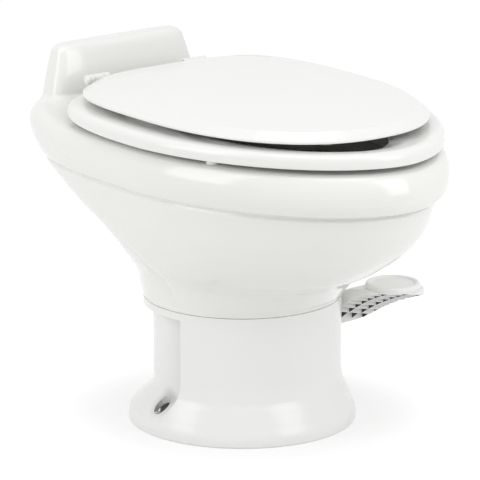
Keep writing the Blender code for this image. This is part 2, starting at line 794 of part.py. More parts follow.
def make_seal_and_clamp():
    """Seal between the flanges, two half clamps, and their screws and nuts."""
    seal_top = OUTLET_HEIGHT - TOUCH
    seal_bottom = seal_top - SEAL_THICKNESS
    seal = turned("bowl_seal", ring_profile(OUTLET_FLANGE_RADIUS - TOUCH, OUTLET_RADIUS + EDGE_ROUND,
                                            seal_bottom, seal_top), SEAL_STEPS)
    place_part(seal, Stage.foot, "rubber")
    low = seal_bottom - TOUCH - OUTLET_FLANGE_THICKNESS - PIPE_WALL - TOUCH
    high = OUTLET_HEIGHT + OUTLET_FLANGE_THICKNESS + TOUCH
    inner = OUTLET_FLANGE_RADIUS + TOUCH
    outer = inner + CLAMP_THICKNESS
    lip = OUTLET_FLANGE_RADIUS - CLAMP_LIP
    profile = ((outer, high + EDGE_ROUND), (outer, low + PIPE_WALL), (inner, low + PIPE_WALL),
               (inner, high), (lip, high), (lip, high + EDGE_ROUND))
    middle = (low + PIPE_WALL + high) / 2
    for side, label in ((-1, "left"), (1, "right")):
        clamp = turned("half_clamp_" + label, profile)
        lugs = []
        for end in (-1, 1):
            xs = sorted((side * CLAMP_SPLIT, side * (CLAMP_SPLIT + LUG_THICKNESS)))
            ys = sorted((end * (inner + CLAMP_THICKNESS / 2), end * (outer + LUG_LENGTH)))
            lugs.append(box("clamp_lug", (xs[0], ys[0], middle - LUG_HEIGHT / 2),
                            (xs[1], ys[1], middle + LUG_HEIGHT / 2)))
        reach = outer + LUG_LENGTH * 2
        xs = sorted((side * CLAMP_SPLIT, -side * reach))
        cut(clamp, box("clamp_half_cut", (xs[0], -reach, low - CUT_OVERRUN),
                       (xs[1], reach, high + CUT_OVERRUN)))
        for lug in lugs:
            join(clamp, lug)
        hole_y = outer + LUG_LENGTH / 2
        for end in (-1, 1):
            cut(clamp, rod("lug_hole", (-LUG_LENGTH, end * hole_y, middle),
                           (LUG_LENGTH, end * hole_y, middle),
                           CLAMP_SCREW_RADIUS + SHAFT_CLEARANCE, SCREW_STEPS))
        place_part(clamp, Stage.foot, "valve_plastic")
    make_clamp_screws(outer + LUG_LENGTH / 2, middle)


def make_clamp_screws(hole_y, middle):
    """Screw and nut through each pair of clamp lugs."""
    face = CLAMP_SPLIT + LUG_THICKNESS + TOUCH
    for end, label in ((-1, "front"), (1, "rear")):
        head = rod("clamp_screw_" + label, (-face - CLAMP_NUT_THICKNESS, end * hole_y, middle),
                   (-face, end * hole_y, middle), CLAMP_NUT_RADIUS, HEX_SIDES)
        shank_end = face + CLAMP_NUT_THICKNESS * 2
        join(head, rod("clamp_shank", (-face - CLAMP_NUT_THICKNESS / 2, end * hole_y, middle),
                       (shank_end, end * hole_y, middle), CLAMP_SCREW_RADIUS, SCREW_STEPS))
        place_part(head, Stage.foot, "steel")
        bore = CLAMP_SCREW_RADIUS + HOLE_CLEARANCE / 2
        nut = turned("clamp_nut_" + label,
                     ring_profile(CLAMP_NUT_RADIUS, bore, 0, CLAMP_NUT_THICKNESS), HEX_SIDES)
        lie_along_x(nut, (face, end * hole_y, middle))
        place_part(nut, Stage.foot, "steel")


def make_flush_ball():
    """Ball valve blade: a spherical strip between two hubs on the shaft."""
    rows = []
    for i in range(BALL_POLE_STEPS + 1):
        pole = BALL_POLE_ANGLE + (math.pi - 2 * BALL_POLE_ANGLE) * i / BALL_POLE_STEPS
        ring = []
        for radius, order in ((BALL_RADIUS, 1), (BALL_RADIUS - BALL_WALL, -1)):
            for j in range(BALL_WIDTH_STEPS + 1):
                turn = order * BALL_HALF_ANGLE * (2 * j / BALL_WIDTH_STEPS - 1)
                reach = radius * math.sin(pole)
                ring.append((radius * math.cos(pole), reach * math.sin(turn),
                             SHAFT_HEIGHT + reach * math.cos(turn)))
        rows.append(ring)
    ball = loft("flush_ball", rows, False)
    hub = BALL_RADIUS * math.sin(BALL_POLE_ANGLE) + BALL_WALL / 2
    for side in (-1, 1):
        inner_end = side * (BALL_RADIUS - BALL_WALL * 3 / 2) * math.cos(BALL_POLE_ANGLE)
        join(ball, rod("ball_hub", (inner_end, 0, SHAFT_HEIGHT),
                       (side * (BALL_RADIUS + EDGE_ROUND), 0, SHAFT_HEIGHT), hub, BOSS_STEPS))
    place_part(ball, Stage.pedal_axis, "valve_plastic")


def make_shafts():
    """Pedal shaft, the far pivot, and the bushing in the column's wall."""
    start = BALL_RADIUS + EDGE_ROUND + TOUCH
    shaft = rod("pedal_shaft", (start, 0, SHAFT_HEIGHT),
                (CORE_RADIUS + EDGE_ROUND, 0, SHAFT_HEIGHT), SHAFT_RADIUS)
    place_part(shaft, Stage.pedal_axis, "steel")
    pivot = rod("ball_pivot", (-start, 0, SHAFT_HEIGHT),
                (-CHAMBER_OUTER - EDGE_ROUND, 0, SHAFT_HEIGHT), SHAFT_RADIUS)
    place_part(pivot, Stage.pedal_axis, "steel")
    bore = SHAFT_RADIUS + SHAFT_CLEARANCE
    inner_face = bushing_inner_face()
    flange = FOOT_WALL / 2
    profile = (
        (BUSHING_RADIUS, CORE_RADIUS), (BUSHING_RADIUS, inner_face), (BUSHING_FLANGE, inner_face),
        (BUSHING_FLANGE, inner_face - flange), (bore, inner_face - flange), (bore, CORE_RADIUS))
    bushing = turned("shaft_bushing", profile, WASHER_STEPS)
    lie_along_x(bushing, (0, 0, SHAFT_HEIGHT))
    place_part(bushing, Stage.foot, "valve_plastic")


def bushing_inner_face():
    """Distance from the centre at which the bushing's flange meets the wall."""
    inner = CORE_RADIUS - FOOT_WALL
    return math.sqrt(inner ** 2 - BUSHING_FLANGE ** 2) - TOUCH


def spring_span():
    """Start and end of the return spring along the shaft."""
    end = bushing_inner_face() - FOOT_WALL / 2 - TOUCH - SPRING_WIRE_RADIUS
    return end - SPRING_LENGTH, end


def make_return_spring():
    """Torsion spring round the shaft, as one unbroken wire."""
    start, end = spring_span()
    count = SPRING_TURNS * SPRING_CURL_POINTS
    points = []
    for i in range(count + 1):
        angle = math.tau * i / SPRING_CURL_POINTS
        x = start + (end - start) * i / count
        z = SHAFT_HEIGHT + SPRING_RADIUS * math.sin(angle)
        points.append(Vector((x, SPRING_RADIUS * math.cos(angle), z)))
    pitch = (end - start) / SPRING_TURNS
    print("return spring least gap %.4f m" % (pitch - 2 * SPRING_WIRE_RADIUS))
    spring = wire("return_spring", points, SPRING_WIRE_RADIUS, 1)
    place_part(spring, Stage.foot, "steel")


def wire(name, points, radius, resolution=2):
    """Make a tube along points, as a capped and welded mesh."""
    curve = bpy.data.curves.new(name, "CURVE")
    curve.dimensions = "3D"
    curve.bevel_depth = radius
    curve.bevel_resolution = resolution
    curve.use_fill_caps = True
    spline = curve.splines.new("POLY")
    spline.points.add(len(points) - 1)
    for target, point in zip(spline.points, points):
        target.co = (*point, 1)
    source = bpy.data.objects.new(name + "_route", curve)
    Stage.cutters.objects.link(source)
    bpy.context.view_layer.update()
    evaluated = source.evaluated_get(bpy.context.evaluated_depsgraph_get())
    mesh = bpy.data.meshes.new_from_object(evaluated)
    bpy.data.objects.remove(source, do_unlink=True)
    shape = bmesh.new()
    shape.from_mesh(mesh)
    bmesh.ops.remove_doubles(shape, verts=shape.verts, dist=WELD)
    bpy.data.meshes.remove(mesh)
    return mesh_object(name, shape)


def smooth_route(route, step_count):
    """Catmull-Rom curve through the points of a route."""
    ends = [route[0] * 2 - route[1]] + list(route) + [route[-1] * 2 - route[-2]]
    points = []
    for i in range(len(route) - 1):
        a, b, c, d = ends[i:i + 4]
        for j in range(step_count):
            t = j / step_count
            points.append(0.5 * (b * 2 + (c - a) * t + (a * 2 - b * 5 + c * 4 - d) * t * t
                                 + (b * 3 - a - c * 3 + d) * t * t * t))
    points.append(route[-1])
    return points


def cam_radius(angle):
    """Cam radius at a turn from rest; it grows by the lift over the pedal's swing."""
    return CAM_RADIUS + CAM_LIFT * max(0.0, min(1.0, angle / PEDAL_SWING))


def make_valve_cam():
    """Cam on the shaft that pushes the water valve's plunger."""
    low, high = [], []
    for i in range(TURN_STEPS):
        angle = math.tau * i / TURN_STEPS
        radius = cam_radius(min(angle, math.tau - angle))
        y = radius * math.cos(angle)
        z = SHAFT_HEIGHT + radius * math.sin(angle)
        low.append((CAM_X - CAM_WIDTH / 2, y, z))
        high.append((CAM_X + CAM_WIDTH / 2, y, z))
    cam = loft("valve_cam", [low, high], False)
    reach = CAM_WIDTH
    cut(cam, rod("cam_bore", (CAM_X - reach, 0, SHAFT_HEIGHT), (CAM_X + reach, 0, SHAFT_HEIGHT),
                 SHAFT_RADIUS + TOUCH))
    place_part(cam, Stage.pedal_axis, "valve_plastic")


def make_water_valve():
    """Water valve with its plunger, inlet, nut, barb and two screws."""
    bottom = valve_bottom()
    x_low, x_high = CAM_X - VALVE_WIDTH / 2, CAM_X + VALVE_WIDTH / 2 - FOOT_WALL
    back = VALVE_FRONT_Y + VALVE_DEPTH
    top = bottom + VALVE_HEIGHT
    valve = box("water_valve", (x_low, VALVE_FRONT_Y, bottom), (x_high, back, top))
    middle = Vector((CAM_X, back - VALVE_DEPTH / 3, SHAFT_HEIGHT))
    join(valve, rod("valve_inlet", middle, (CAM_X, INLET_BOSS_Y + INLET_LENGTH, SHAFT_HEIGHT),
                    INLET_RADIUS, BOSS_STEPS))
    barb = hose_start()
    join(valve, rod("valve_barb", (barb.x, barb.y, SHAFT_HEIGHT),
                    barb - Vector((0, 0, TOUCH * 2)), HOSE_RADIUS))
    cut(valve, rod("plunger_hole", (CAM_X, VALVE_FRONT_Y - CUT_OVERRUN, SHAFT_HEIGHT),
                   (CAM_X, VALVE_FRONT_Y + CAM_LIFT * 5 / 2, SHAFT_HEIGHT),
                   PLUNGER_RADIUS + SHAFT_CLEARANCE))
    place_part(valve, Stage.foot, "valve_plastic")
    tip = CAM_RADIUS + CAM_CLEARANCE + TOUCH
    plunger = rod("valve_plunger", (CAM_X, tip, SHAFT_HEIGHT),
                  (CAM_X, VALVE_FRONT_Y + CAM_LIFT, SHAFT_HEIGHT), PLUNGER_RADIUS)
    place_part(plunger, Stage.plunger_axis, "steel")
    bore = INLET_RADIUS + EDGE_ROUND
    nut = turned("inlet_nut", ring_profile(INLET_NUT_RADIUS, bore, 0, INLET_NUT_THICKNESS), HEX_SIDES)
    nut.rotation_euler = (math.radians(-90), 0, 0)
    nut.location = (CAM_X, INLET_BOSS_Y + TOUCH, SHAFT_HEIGHT)
    place_part(nut, Stage.foot, "valve_plastic")
    for label, x in (("inner", x_low + VALVE_SCREW_RADIUS), ("outer", x_high - VALVE_SCREW_RADIUS)):
        spot = Vector((x, VALVE_FRONT_Y + VALVE_SCREW_RADIUS - HOLE_CLEARANCE, top + TOUCH))
        screw = rod("valve_screw_" + label, spot, spot + Vector((0, 0, VALVE_SCREW_THICKNESS)),
                    VALVE_SCREW_RADIUS - TOUCH, HEX_SIDES)
        place_part(screw, Stage.foot, "steel")


def hose_start():
    """Top of the water valve's barb, where the supply hose begins."""
    return Vector((CAM_X - VALVE_WIDTH / 8, VALVE_FRONT_Y + VALVE_DEPTH * 5 / 8,
                   valve_bottom() + VALVE_HEIGHT + HOSE_BARB_LENGTH))


def make_vacuum_breaker():
    """Vacuum breaker in the raised cover, with its cap and two ports."""
    middle = breaker_place()
    half = Vector((BREAKER_LENGTH / 2, 0, 0))
    body = rod("vacuum_breaker", middle - half, middle + half, BREAKER_RADIUS)
    for side in (-1, 1):
        port = middle + Vector((side * BREAKER_PORT_SPACING / 2, 0, 0))
        join(body, rod("breaker_port", port, port_end(side) + Vector((0, 0, TOUCH * 2)), HOSE_RADIUS))
    seat = middle + Vector((0, 0, BREAKER_RADIUS + EDGE_ROUND))
    join(body, rod("breaker_neck", middle, seat, BREAKER_CAP_RADIUS - EDGE_ROUND))
    place_part(body, Stage.foot, "valve_plastic")
    cap_low = seat + Vector((0, 0, TOUCH))
    cap = rod("breaker_cap", cap_low, cap_low + Vector((0, 0, BREAKER_CAP_THICKNESS)), BREAKER_CAP_RADIUS)
    place_part(cap, Stage.foot, "valve_plastic")


def port_end(side):
    """Lower end of a vacuum breaker port."""
    middle = breaker_place()
    return middle + Vector((side * BREAKER_PORT_SPACING / 2, 0, -BREAKER_RADIUS - EDGE_ROUND * 2))


def make_hoses():
    """Hoses from valve to vacuum breaker and on to the rinse nozzle."""
    start = hose_start()
    end = port_end(1)
    rise = Vector((0, 0, HOSE_RADIUS * 3))
    supply = (start, start + rise / 3, start + rise, *(Vector(bend) for bend in SUPPLY_BENDS),
              Vector((end.x + HOSE_RADIUS, end.y - HOSE_RADIUS * 6,
                      CEILING_HEIGHT - DECK_THICKNESS * 3 / 2)),
              Vector((end.x, end.y - HOSE_RADIUS / 2, CEILING_HEIGHT - HOSE_RADIUS)),
              Vector((end.x, end.y, RIM_HEIGHT)), end - Vector((0, 0, TOUCH)))
    hose = wire("supply_hose", smooth_route(supply, SUPPLY_STEPS), HOSE_RADIUS)
    place_part(hose, Stage.foot, "clear_hose")
    nozzle_back = nozzle_ends()[1] + Vector((0, TOUCH, 0))
    left = port_end(-1)
    route = (left, Vector((left.x, left.y, CEILING_HEIGHT)),
             Vector((left.x, left.y - HOSE_RADIUS, CEILING_HEIGHT - DECK_THICKNESS)),
             nozzle_back + Vector((0, HOSE_RADIUS * 5, 0)),
             nozzle_back + Vector((0, HOSE_RADIUS, 0)), nozzle_back)
    rinse = wire("rinse_hose", smooth_route(route, RINSE_STEPS), HOSE_RADIUS)
    place_part(rinse, Stage.foot, "clear_hose")


def pedal_station(shares):
    """Centre, half width, top and bottom of the pedal at one station."""
    along, width_share, top_share, bottom_share = shares
    y = -PEDAL_LENGTH * along
    half = PEDAL_WIDTH / 2 * width_share
    inner_limit = COLUMN_RADIUS + PEDAL_CLEARANCE
    start, end = PEDAL_SHARES[1][0], PEDAL_SHARES[4][0]
    slip = max(0.0, min(1.0, (along - start) / (end - start)))
    middle = (inner_limit + half) * (1 - slip) + PEDAL_REACH_OUT * slip
    top = SHAFT_HEIGHT + PEDAL_RISE * top_share
    bottom = SHAFT_HEIGHT + PEDAL_RISE * bottom_share
    return middle, y, half, top, bottom


def pedal_ring(shares):
    """Rounded cross-section of the pedal at one station."""
    middle, y, half, top, bottom = pedal_station(shares)
    power = PEDAL_SQUARENESS
    points = []
    for i in range(PEDAL_RING_POINTS):
        angle = math.tau * (i + 0.5) / PEDAL_RING_POINTS
        across, up = math.cos(angle), math.sin(angle)
        x = middle + half * math.copysign(abs(across) ** (2 / power), across)
        z = (top + bottom) / 2 + (top - bottom) / 2 * math.copysign(abs(up) ** (2 / power), up)
        points.append((x, y, z))
    return points


def shares_at(along):
    """Pedal shares between two stations of the table."""
    for low, high in zip(PEDAL_SHARES, PEDAL_SHARES[1:]):
        if low[0] <= along <= high[0]:
            blend = (along - low[0]) / (high[0] - low[0])
            return tuple(a + (b - a) * blend for a, b in zip(low, high))
    return PEDAL_SHARES[-1]


def rib_cells():
    """Cutter for the egg-crate of open cells under the pedal."""
    shape = bmesh.new()
    step = (CELLS_END_SHARE - CELLS_START_SHARE) / CELL_ROWS
    for row in range(CELL_ROWS):
        near = CELLS_START_SHARE + step * row
        far = near + step
        near_middle, _, near_half, top, _ = pedal_station(shares_at(near))
        far_middle, _, far_half, _, _ = pedal_station(shares_at(far))
        middle = (near_middle + far_middle) / 2
        half = min(near_half, far_half)
        columns = CELL_COLUMNS if half > PEDAL_WIDTH / 5 else 1
        pitch = (half * 2 - PEDAL_RIB) / columns
        y_low, y_high = PEDAL_RIB - PEDAL_LENGTH * far, -PEDAL_LENGTH * near
        for column in range(columns):
            x_low = middle - half + PEDAL_RIB + column * pitch
            low = Vector((x_low, y_low, SHAFT_HEIGHT - PEDAL_RISE))
            high = Vector((x_low + pitch - PEDAL_RIB, y_high, top - PEDAL_SKIN * 2))
            size = Matrix.Diagonal((*(high - low), 1))
            bmesh.ops.create_cube(shape, size=1, matrix=Matrix.Translation((low + high) / 2) @ size)
    return mesh_object("rib_cells", shape)


def make_pedal():
    """Foot pedal: round hub, rising arm and wide tread with ribs below."""
    pedal = loft("flush_pedal", [pedal_ring(shares) for shares in PEDAL_SHARES], False)
    pedal.modifiers.new("facets", "TRIANGULATE")
    cut(pedal, rib_cells())
    hub_start = CORE_RADIUS + EDGE_ROUND + TOUCH
    inner_limit = COLUMN_RADIUS + PEDAL_CLEARANCE
    hub_end = inner_limit + PEDAL_ARM_THICKNESS
    join(pedal, rod("pedal_hub", (hub_start, 0, SHAFT_HEIGHT), (hub_end, 0, SHAFT_HEIGHT),
                    HUB_RADIUS, SEAL_STEPS))
    pad_top = pedal_station(shares_at(-PAD_Y / PEDAL_LENGTH))[3]
    lip = PAD_RADIUS - PAD_LIP
    floor = pad_top + PAD_THICKNESS - PAD_LIP / 2
    pad = turned("pedal_pad", (
        (0, floor), (lip - PAD_LIP, floor), (lip, pad_top + PAD_THICKNESS),
        (PAD_RADIUS, pad_top + PAD_THICKNESS - PAD_LIP), (PAD_RADIUS, pad_top - PAD_THICKNESS),
        (0, pad_top - PAD_THICKNESS)), SEAL_STEPS)
    pad.location = (PEDAL_REACH_OUT, PAD_Y, 0)
    join(pedal, pad)
    place_part(pedal, Stage.pedal_axis, "pedal_plastic")
    cap = rod("pedal_hub_cap", (hub_end + TOUCH, 0, SHAFT_HEIGHT),
              (hub_end + EDGE_ROUND * 2, 0, SHAFT_HEIGHT), HUB_CAP_RADIUS, BOSS_STEPS)
    place_part(cap, Stage.pedal_axis, "pedal_plastic")


def make_floor_fixings():
    """Floor seal, and a bolt, washer and nut in each floor pocket."""
    inner = PIPE_BORE_RADIUS + PIPE_WALL + TOUCH
    seal = turned("floor_seal", ring_profile(inner + FLOOR_SEAL_WIDTH, inner, TOUCH, FLOOR_SEAL_HEIGHT),
                  SEAL_STEPS)
    place_part(seal, Stage.foot, "rubber")
    bore = FLOOR_BOLT_RADIUS + HOLE_CLEARANCE
    for side, label in ((-1, "left"), (1, "right")):
        bolt = rod("floor_bolt_" + label, floor_bolt_point(side, TOUCH),
                   floor_bolt_point(side, FLOOR_BOLT_LENGTH), FLOOR_BOLT_RADIUS)
        place_part(bolt, Stage.foot, "steel")
        base = FOOT_PLATE + TOUCH
        washer = turned("floor_washer_" + label,
                        ring_profile(FLOOR_WASHER_RADIUS, bore, 0, FLOOR_WASHER_THICKNESS), WASHER_STEPS)
        washer.location = floor_bolt_point(side, base)
        place_part(washer, Stage.foot, "steel")
        nut = turned("floor_nut_" + label,
                     ring_profile(FLOOR_NUT_RADIUS, bore, 0, FLOOR_NUT_THICKNESS), HEX_SIDES)
        nut.location = floor_bolt_point(side, base + FLOOR_WASHER_THICKNESS + TOUCH)
        place_part(nut, Stage.foot, "steel")


def seat_ring_outline(across, height):
    """Plan ring between the seat's outer edge and its hole."""
    def mix(outer, inner):
        return outer + (inner - outer) * across
    return plan_ring(mix(SEAT_WIDTH, SEAT_HOLE_WIDTH) / 2, mix(SEAT_FRONT, SEAT_HOLE_FRONT),
                     mix(SEAT_REAR, SEAT_HOLE_REAR), -WIDEST_SETBACK, height,
                     2 - FRONT_SHARPNESS * (1 - across), mix(SEAT_REAR_POWER, SEAT_HOLE_REAR_POWER))


def make_seat():
    """Elongated closed-front seat ring with a rounded top."""
    rings = []
    for across, up in SEAT_SECTION_SHARES:
        rings.append(seat_ring_outline(across, SEAT_BOTTOM + SEAT_THICKNESS * up))
    place_part(loft("seat_ring", rings, True), Stage.seat_axis, "seat_plastic")


def lid_ring(inset, height):
    """Plan ring of the lid, drawn in by an inset."""
    return plan_ring(LID_WIDTH / 2 - inset, LID_FRONT - inset, LID_REAR - inset,
                     -WIDEST_SETBACK, LID_BOTTOM + height, LID_FRONT_POWER, LID_REAR_POWER)


def make_lid():
    """Lid with a flat edge, a bevelled border and a crowned panel."""
    edge = LID_EDGE_THICKNESS
    rings = [lid_ring(EDGE_ROUND, 0), lid_ring(0, EDGE_ROUND), lid_ring(0, edge * 3 / 4),
             lid_ring(EDGE_ROUND, edge), lid_ring(LID_BEVEL, edge + EDGE_ROUND)]
    half = LID_WIDTH / 2
    for share in LID_CROWN_SHARES:
        inset = LID_BEVEL + (half - LID_BEVEL) * share
        rise = LID_CROWN * (1 - (1 - share) ** 2)
        rings.append(lid_ring(inset, edge + EDGE_ROUND + (rise - EDGE_ROUND) * share ** LID_CROWN_EASE))
    place_part(loft("lid", rings, False), Stage.lid_axis, "seat_plastic")


def make_bumpers():
    """Round bumpers under the seat and under the lid."""
    seat_line = SEAT_WIDTH / 2 - BUMPER_INSET - BUMPER_RADIUS
    seat_front = -SEAT_FRONT / 2 + BUMPER_INSET / 2
    seat_spots = {"front": (seat_line, seat_front), "rear": (seat_line, SEAT_REAR / 3)}
    lid_line = LID_WIDTH / 2 - BUMPER_INSET - BUMPER_RADIUS
    lid_spots = {"front": (LID_WIDTH / 7, -LID_FRONT * 5 / 6), "side": (lid_line, -LID_FRONT / 4)}
    for side, name in ((-1, "left"), (1, "right")):
        for label, (x, y) in seat_spots.items():
            low = Vector((side * x, y, RIM_HEIGHT + TOUCH))
            high = Vector((low.x, y, SEAT_BOTTOM - TOUCH))
            bumper = rod("seat_bumper_%s_%s" % (label, name), low, high, BUMPER_RADIUS)
            place_part(bumper, Stage.seat_axis, "seat_plastic")
        for label, (x, y) in lid_spots.items():
            low = Vector((side * x, y, SEAT_TOP + TOUCH))
            high = Vector((low.x, y, LID_BOTTOM - TOUCH))
            bumper = rod("lid_bumper_%s_%s" % (label, name), low, high, BUMPER_RADIUS)
            place_part(bumper, Stage.lid_axis, "seat_plastic")


def knuckle(name, side, start, end):
    """Ring round the hinge pin between two distances from the centre."""
    bore = PIN_RADIUS + SHAFT_CLEARANCE
    low, high = sorted((side * start, side * end))
    ring = turned(name, ring_profile(KNUCKLE_RADIUS, bore, low, high), SMALL_STEPS)
    return lie_along_x(ring, (0, HINGE_Y, HINGE_HEIGHT))


def pin_bore(side):
    """Cutter that keeps the pin's hole open through a knuckle."""
    reach = HINGE_SPACING / 2 + POST_WIDTH + ARM_WIDTH * 2
    return rod("pin_bore", (side * POST_WIDTH, HINGE_Y, HINGE_HEIGHT), (side * reach, HINGE_Y, HINGE_HEIGHT),
               PIN_RADIUS + SHAFT_CLEARANCE)


def side_box(name, side, x_range, y_range, z_range, edge=0.0):
    """Box given by its distances from the centre plane on one side."""
    xs = sorted((side * x_range[0], side * x_range[1]))
    return box(name, (xs[0], y_range[0], z_range[0]), (xs[1], y_range[1], z_range[1]), edge)


def make_hinges():
    """Posts, pins, seat arms, lid arms and the fixings under the deck."""
    post_in = HINGE_SPACING / 2 - POST_WIDTH / 2
    post_out = post_in + POST_WIDTH
    for side, label in ((-1, "left"), (1, "right")):
        make_post(side, label, post_in, post_out)
        seat_in = post_out + KNUCKLE_GAP
        seat_out = seat_in + ARM_WIDTH
        make_seat_arm(side, label, seat_in, seat_out)
        lid_out = post_in - KNUCKLE_GAP
        lid_in = lid_out - ARM_WIDTH
        make_lid_arm(side, label, lid_in, lid_out)
        pin = rod("hinge_pin_" + label, (side * (lid_in - EDGE_ROUND), HINGE_Y, HINGE_HEIGHT),
                  (side * (seat_out + EDGE_ROUND), HINGE_Y, HINGE_HEIGHT), PIN_RADIUS)
        place_part(pin, Stage.foot, "steel")
        make_hinge_fixings(side, label)


def make_post(side, label, post_in, post_out):
    """Hinge post with a base plate on the deck."""
    base = RIM_HEIGHT + TOUCH
    middle = HINGE_SPACING / 2
    post = side_box("hinge_post_" + label, side,
                    (middle - POST_BASE_WIDTH / 2, middle + POST_BASE_WIDTH / 2),
                    (HINGE_Y - POST_BASE_DEPTH / 2, HINGE_Y + POST_BASE_DEPTH / 2),
                    (base, base + POST_BASE_THICKNESS))
    join(post, side_box("post_web", side, (post_in, post_out),
                        (HINGE_Y - POST_DEPTH / 2, HINGE_Y + POST_DEPTH / 2),
                        (base + POST_BASE_THICKNESS / 2, HINGE_HEIGHT)))
    join(post, knuckle("post_knuckle", side, post_in, post_out))
    cut(post, pin_bore(side))
    place_part(post, Stage.foot, "seat_plastic")


def make_seat_arm(side, label, arm_in, arm_out):
    """Arm below the seat ring that rises to the hinge pin."""
    top = SEAT_BOTTOM - TOUCH
    bottom = top - ARM_THICKNESS
    arm = side_box("seat_hinge_arm_" + label, side, (arm_in, arm_out),
                   (HINGE_Y - SEAT_ARM_REACH, HINGE_Y), (bottom, top))
    join(arm, side_box("seat_arm_web", side, (arm_in, arm_out), (SEAT_REAR + HOLE_CLEARANCE, HINGE_Y),
                       (bottom + ARM_THICKNESS / 2, HINGE_HEIGHT)))
    join(arm, knuckle("seat_arm_knuckle", side, arm_in, arm_out))
    cut(arm, pin_bore(side))
    place_part(arm, Stage.seat_axis, "seat_plastic")


def make_lid_arm(side, label, arm_in, arm_out):
    """Arm under the lid that reaches back to the hinge pin."""
    top = LID_BOTTOM - TOUCH
    bottom = SEAT_TOP + HOLE_CLEARANCE
    arm = side_box("lid_hinge_arm_" + label, side, (arm_in, arm_out),
                   (HINGE_Y - LID_ARM_REACH, HINGE_Y), (bottom, top))
    join(arm, knuckle("lid_arm_knuckle", side, arm_in, arm_out))
    cut(arm, pin_bore(side))
    place_part(arm, Stage.lid_axis, "seat_plastic")


def make_hinge_fixings(side, label):
    """Bolt, washer and wing nut that hold a hinge post to the deck."""
    bolt = rod("hinge_bolt_" + label, hinge_point(side, RIM_HEIGHT),
               hinge_point(side, RIM_HEIGHT - HINGE_BOLT_LENGTH), HINGE_BOLT_RADIUS)
    place_part(bolt, Stage.foot, "seat_plastic")
    bore = HINGE_BOLT_RADIUS + HOLE_CLEARANCE
    washer = turned("hinge_washer_" + label,
                    ring_profile(HINGE_WASHER_RADIUS, bore, -HINGE_WASHER_THICKNESS, 0), WASHER_STEPS)
    washer.location = hinge_point(side, CEILING_HEIGHT - TOUCH)
    place_part(washer, Stage.foot, "seat_plastic")
    nut = turned("wing_nut_" + label, ring_profile(WING_NUT_RADIUS, bore, -WING_NUT_THICKNESS, 0),
                 SMALL_STEPS)
    top = CEILING_HEIGHT - TOUCH * 2 - HINGE_WASHER_THICKNESS
    nut.location = hinge_point(side, top)
    for wing in (-1, 1):
        x_start = side * HINGE_SPACING / 2 + wing * (bore + EDGE_ROUND / 2)
        xs = sorted((x_start, x_start + wing * WING_LENGTH))
        join(nut, box("wing", (xs[0], HINGE_Y - EDGE_ROUND / 2, top - WING_NUT_THICKNESS - EDGE_ROUND),
                      (xs[1], HINGE_Y + EDGE_ROUND / 2, top - EDGE_ROUND)))
    place_part(nut, Stage.foot, "seat_plastic")


def main():
    """Build the toilet."""
    clear_scene()
    make_bowl()
    make_rinse_nozzle()
    make_pedestal()
    make_seal_and_clamp()
    make_flush_ball()
    make_shafts()
    make_return_spring()
    make_valve_cam()
    make_water_valve()
    make_vacuum_breaker()
    make_hoses()
    make_pedal()
    make_floor_fixings()
    make_seat()
    make_lid()
    make_bumpers()
    make_hinges()


if __name__ == "__main__":
    main()
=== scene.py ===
"""RV toilet with a glazed china bowl, gloss seat and lid, moulded pedestal and foot pedal.

Pieces are worked out as numpy surfaces in metres, +Z up and -Y to the front of
the bowl. Plans are laid out from the centre of the round foot, which stands at
FOOT_Y in the frame.
"""
import json
import math

import bmesh
import bpy
import numpy as np
from bpy.props import FloatProperty, FloatVectorProperty, IntProperty, PointerProperty
from mathutils import Matrix, Vector


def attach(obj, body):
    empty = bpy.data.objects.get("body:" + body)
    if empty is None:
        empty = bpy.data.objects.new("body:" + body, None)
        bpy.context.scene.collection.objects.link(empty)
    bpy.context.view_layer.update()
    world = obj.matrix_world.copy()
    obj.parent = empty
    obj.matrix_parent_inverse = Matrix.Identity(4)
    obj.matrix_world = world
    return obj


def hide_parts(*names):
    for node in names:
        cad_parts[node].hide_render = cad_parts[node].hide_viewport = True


bl_info = {
    "name": "RV Toilet",
    "version": (1, 0, 0),
    "blender": (4, 5, 0),
    "location": "View3D > Sidebar > Toilet",
    "description": "Dresses the packed RV toilet with glazed and moulded surfaces",
    "category": "Mesh",
}

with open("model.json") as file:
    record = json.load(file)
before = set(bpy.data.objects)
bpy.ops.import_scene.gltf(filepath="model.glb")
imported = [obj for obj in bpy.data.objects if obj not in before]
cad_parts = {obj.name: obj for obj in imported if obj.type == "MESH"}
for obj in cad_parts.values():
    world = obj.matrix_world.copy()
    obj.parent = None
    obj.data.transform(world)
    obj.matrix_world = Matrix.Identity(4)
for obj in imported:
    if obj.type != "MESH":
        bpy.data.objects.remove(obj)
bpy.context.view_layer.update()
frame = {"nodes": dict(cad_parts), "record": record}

# Plan and heights of the china
BOWL_HALF = 0.1905
FRONT_REACH = 0.314
REAR_REACH = 0.279
RIM_HEIGHT = 0.363
SEAM_HEIGHT = 0.1546
OUTLET_HEIGHT = 0.148
CHINA_WALL = 0.010
DECK_THICKNESS = 0.020
WIDEST_SETBACK = 0.028
FRONT_SHARPNESS = 0.18
REAR_SQUARENESS = 1.3
OPENING_HALF = 0.128
OPENING_FRONT = 0.262
OPENING_REAR = 0.150
OUTLET_RADIUS = 0.030
OUTLET_FLANGE_RADIUS = 0.060
OUTLET_FLANGE_THICKNESS = 0.008
GLAZED_EDGE = 0.0012
FOOT_Y = (FRONT_REACH - REAR_REACH) / 2

# Rows of each part of the china, and the rings where its inside parts meet
OUTSIDE_ROWS = 130
BASIN_ROWS = 66
DECK_ROWS = 4
SHELL_ROWS = 11
SKIRT_ROWS = 18
UNDERCUT_RING = 3
CEILING_RING = 18
SKIRT_RING = 15

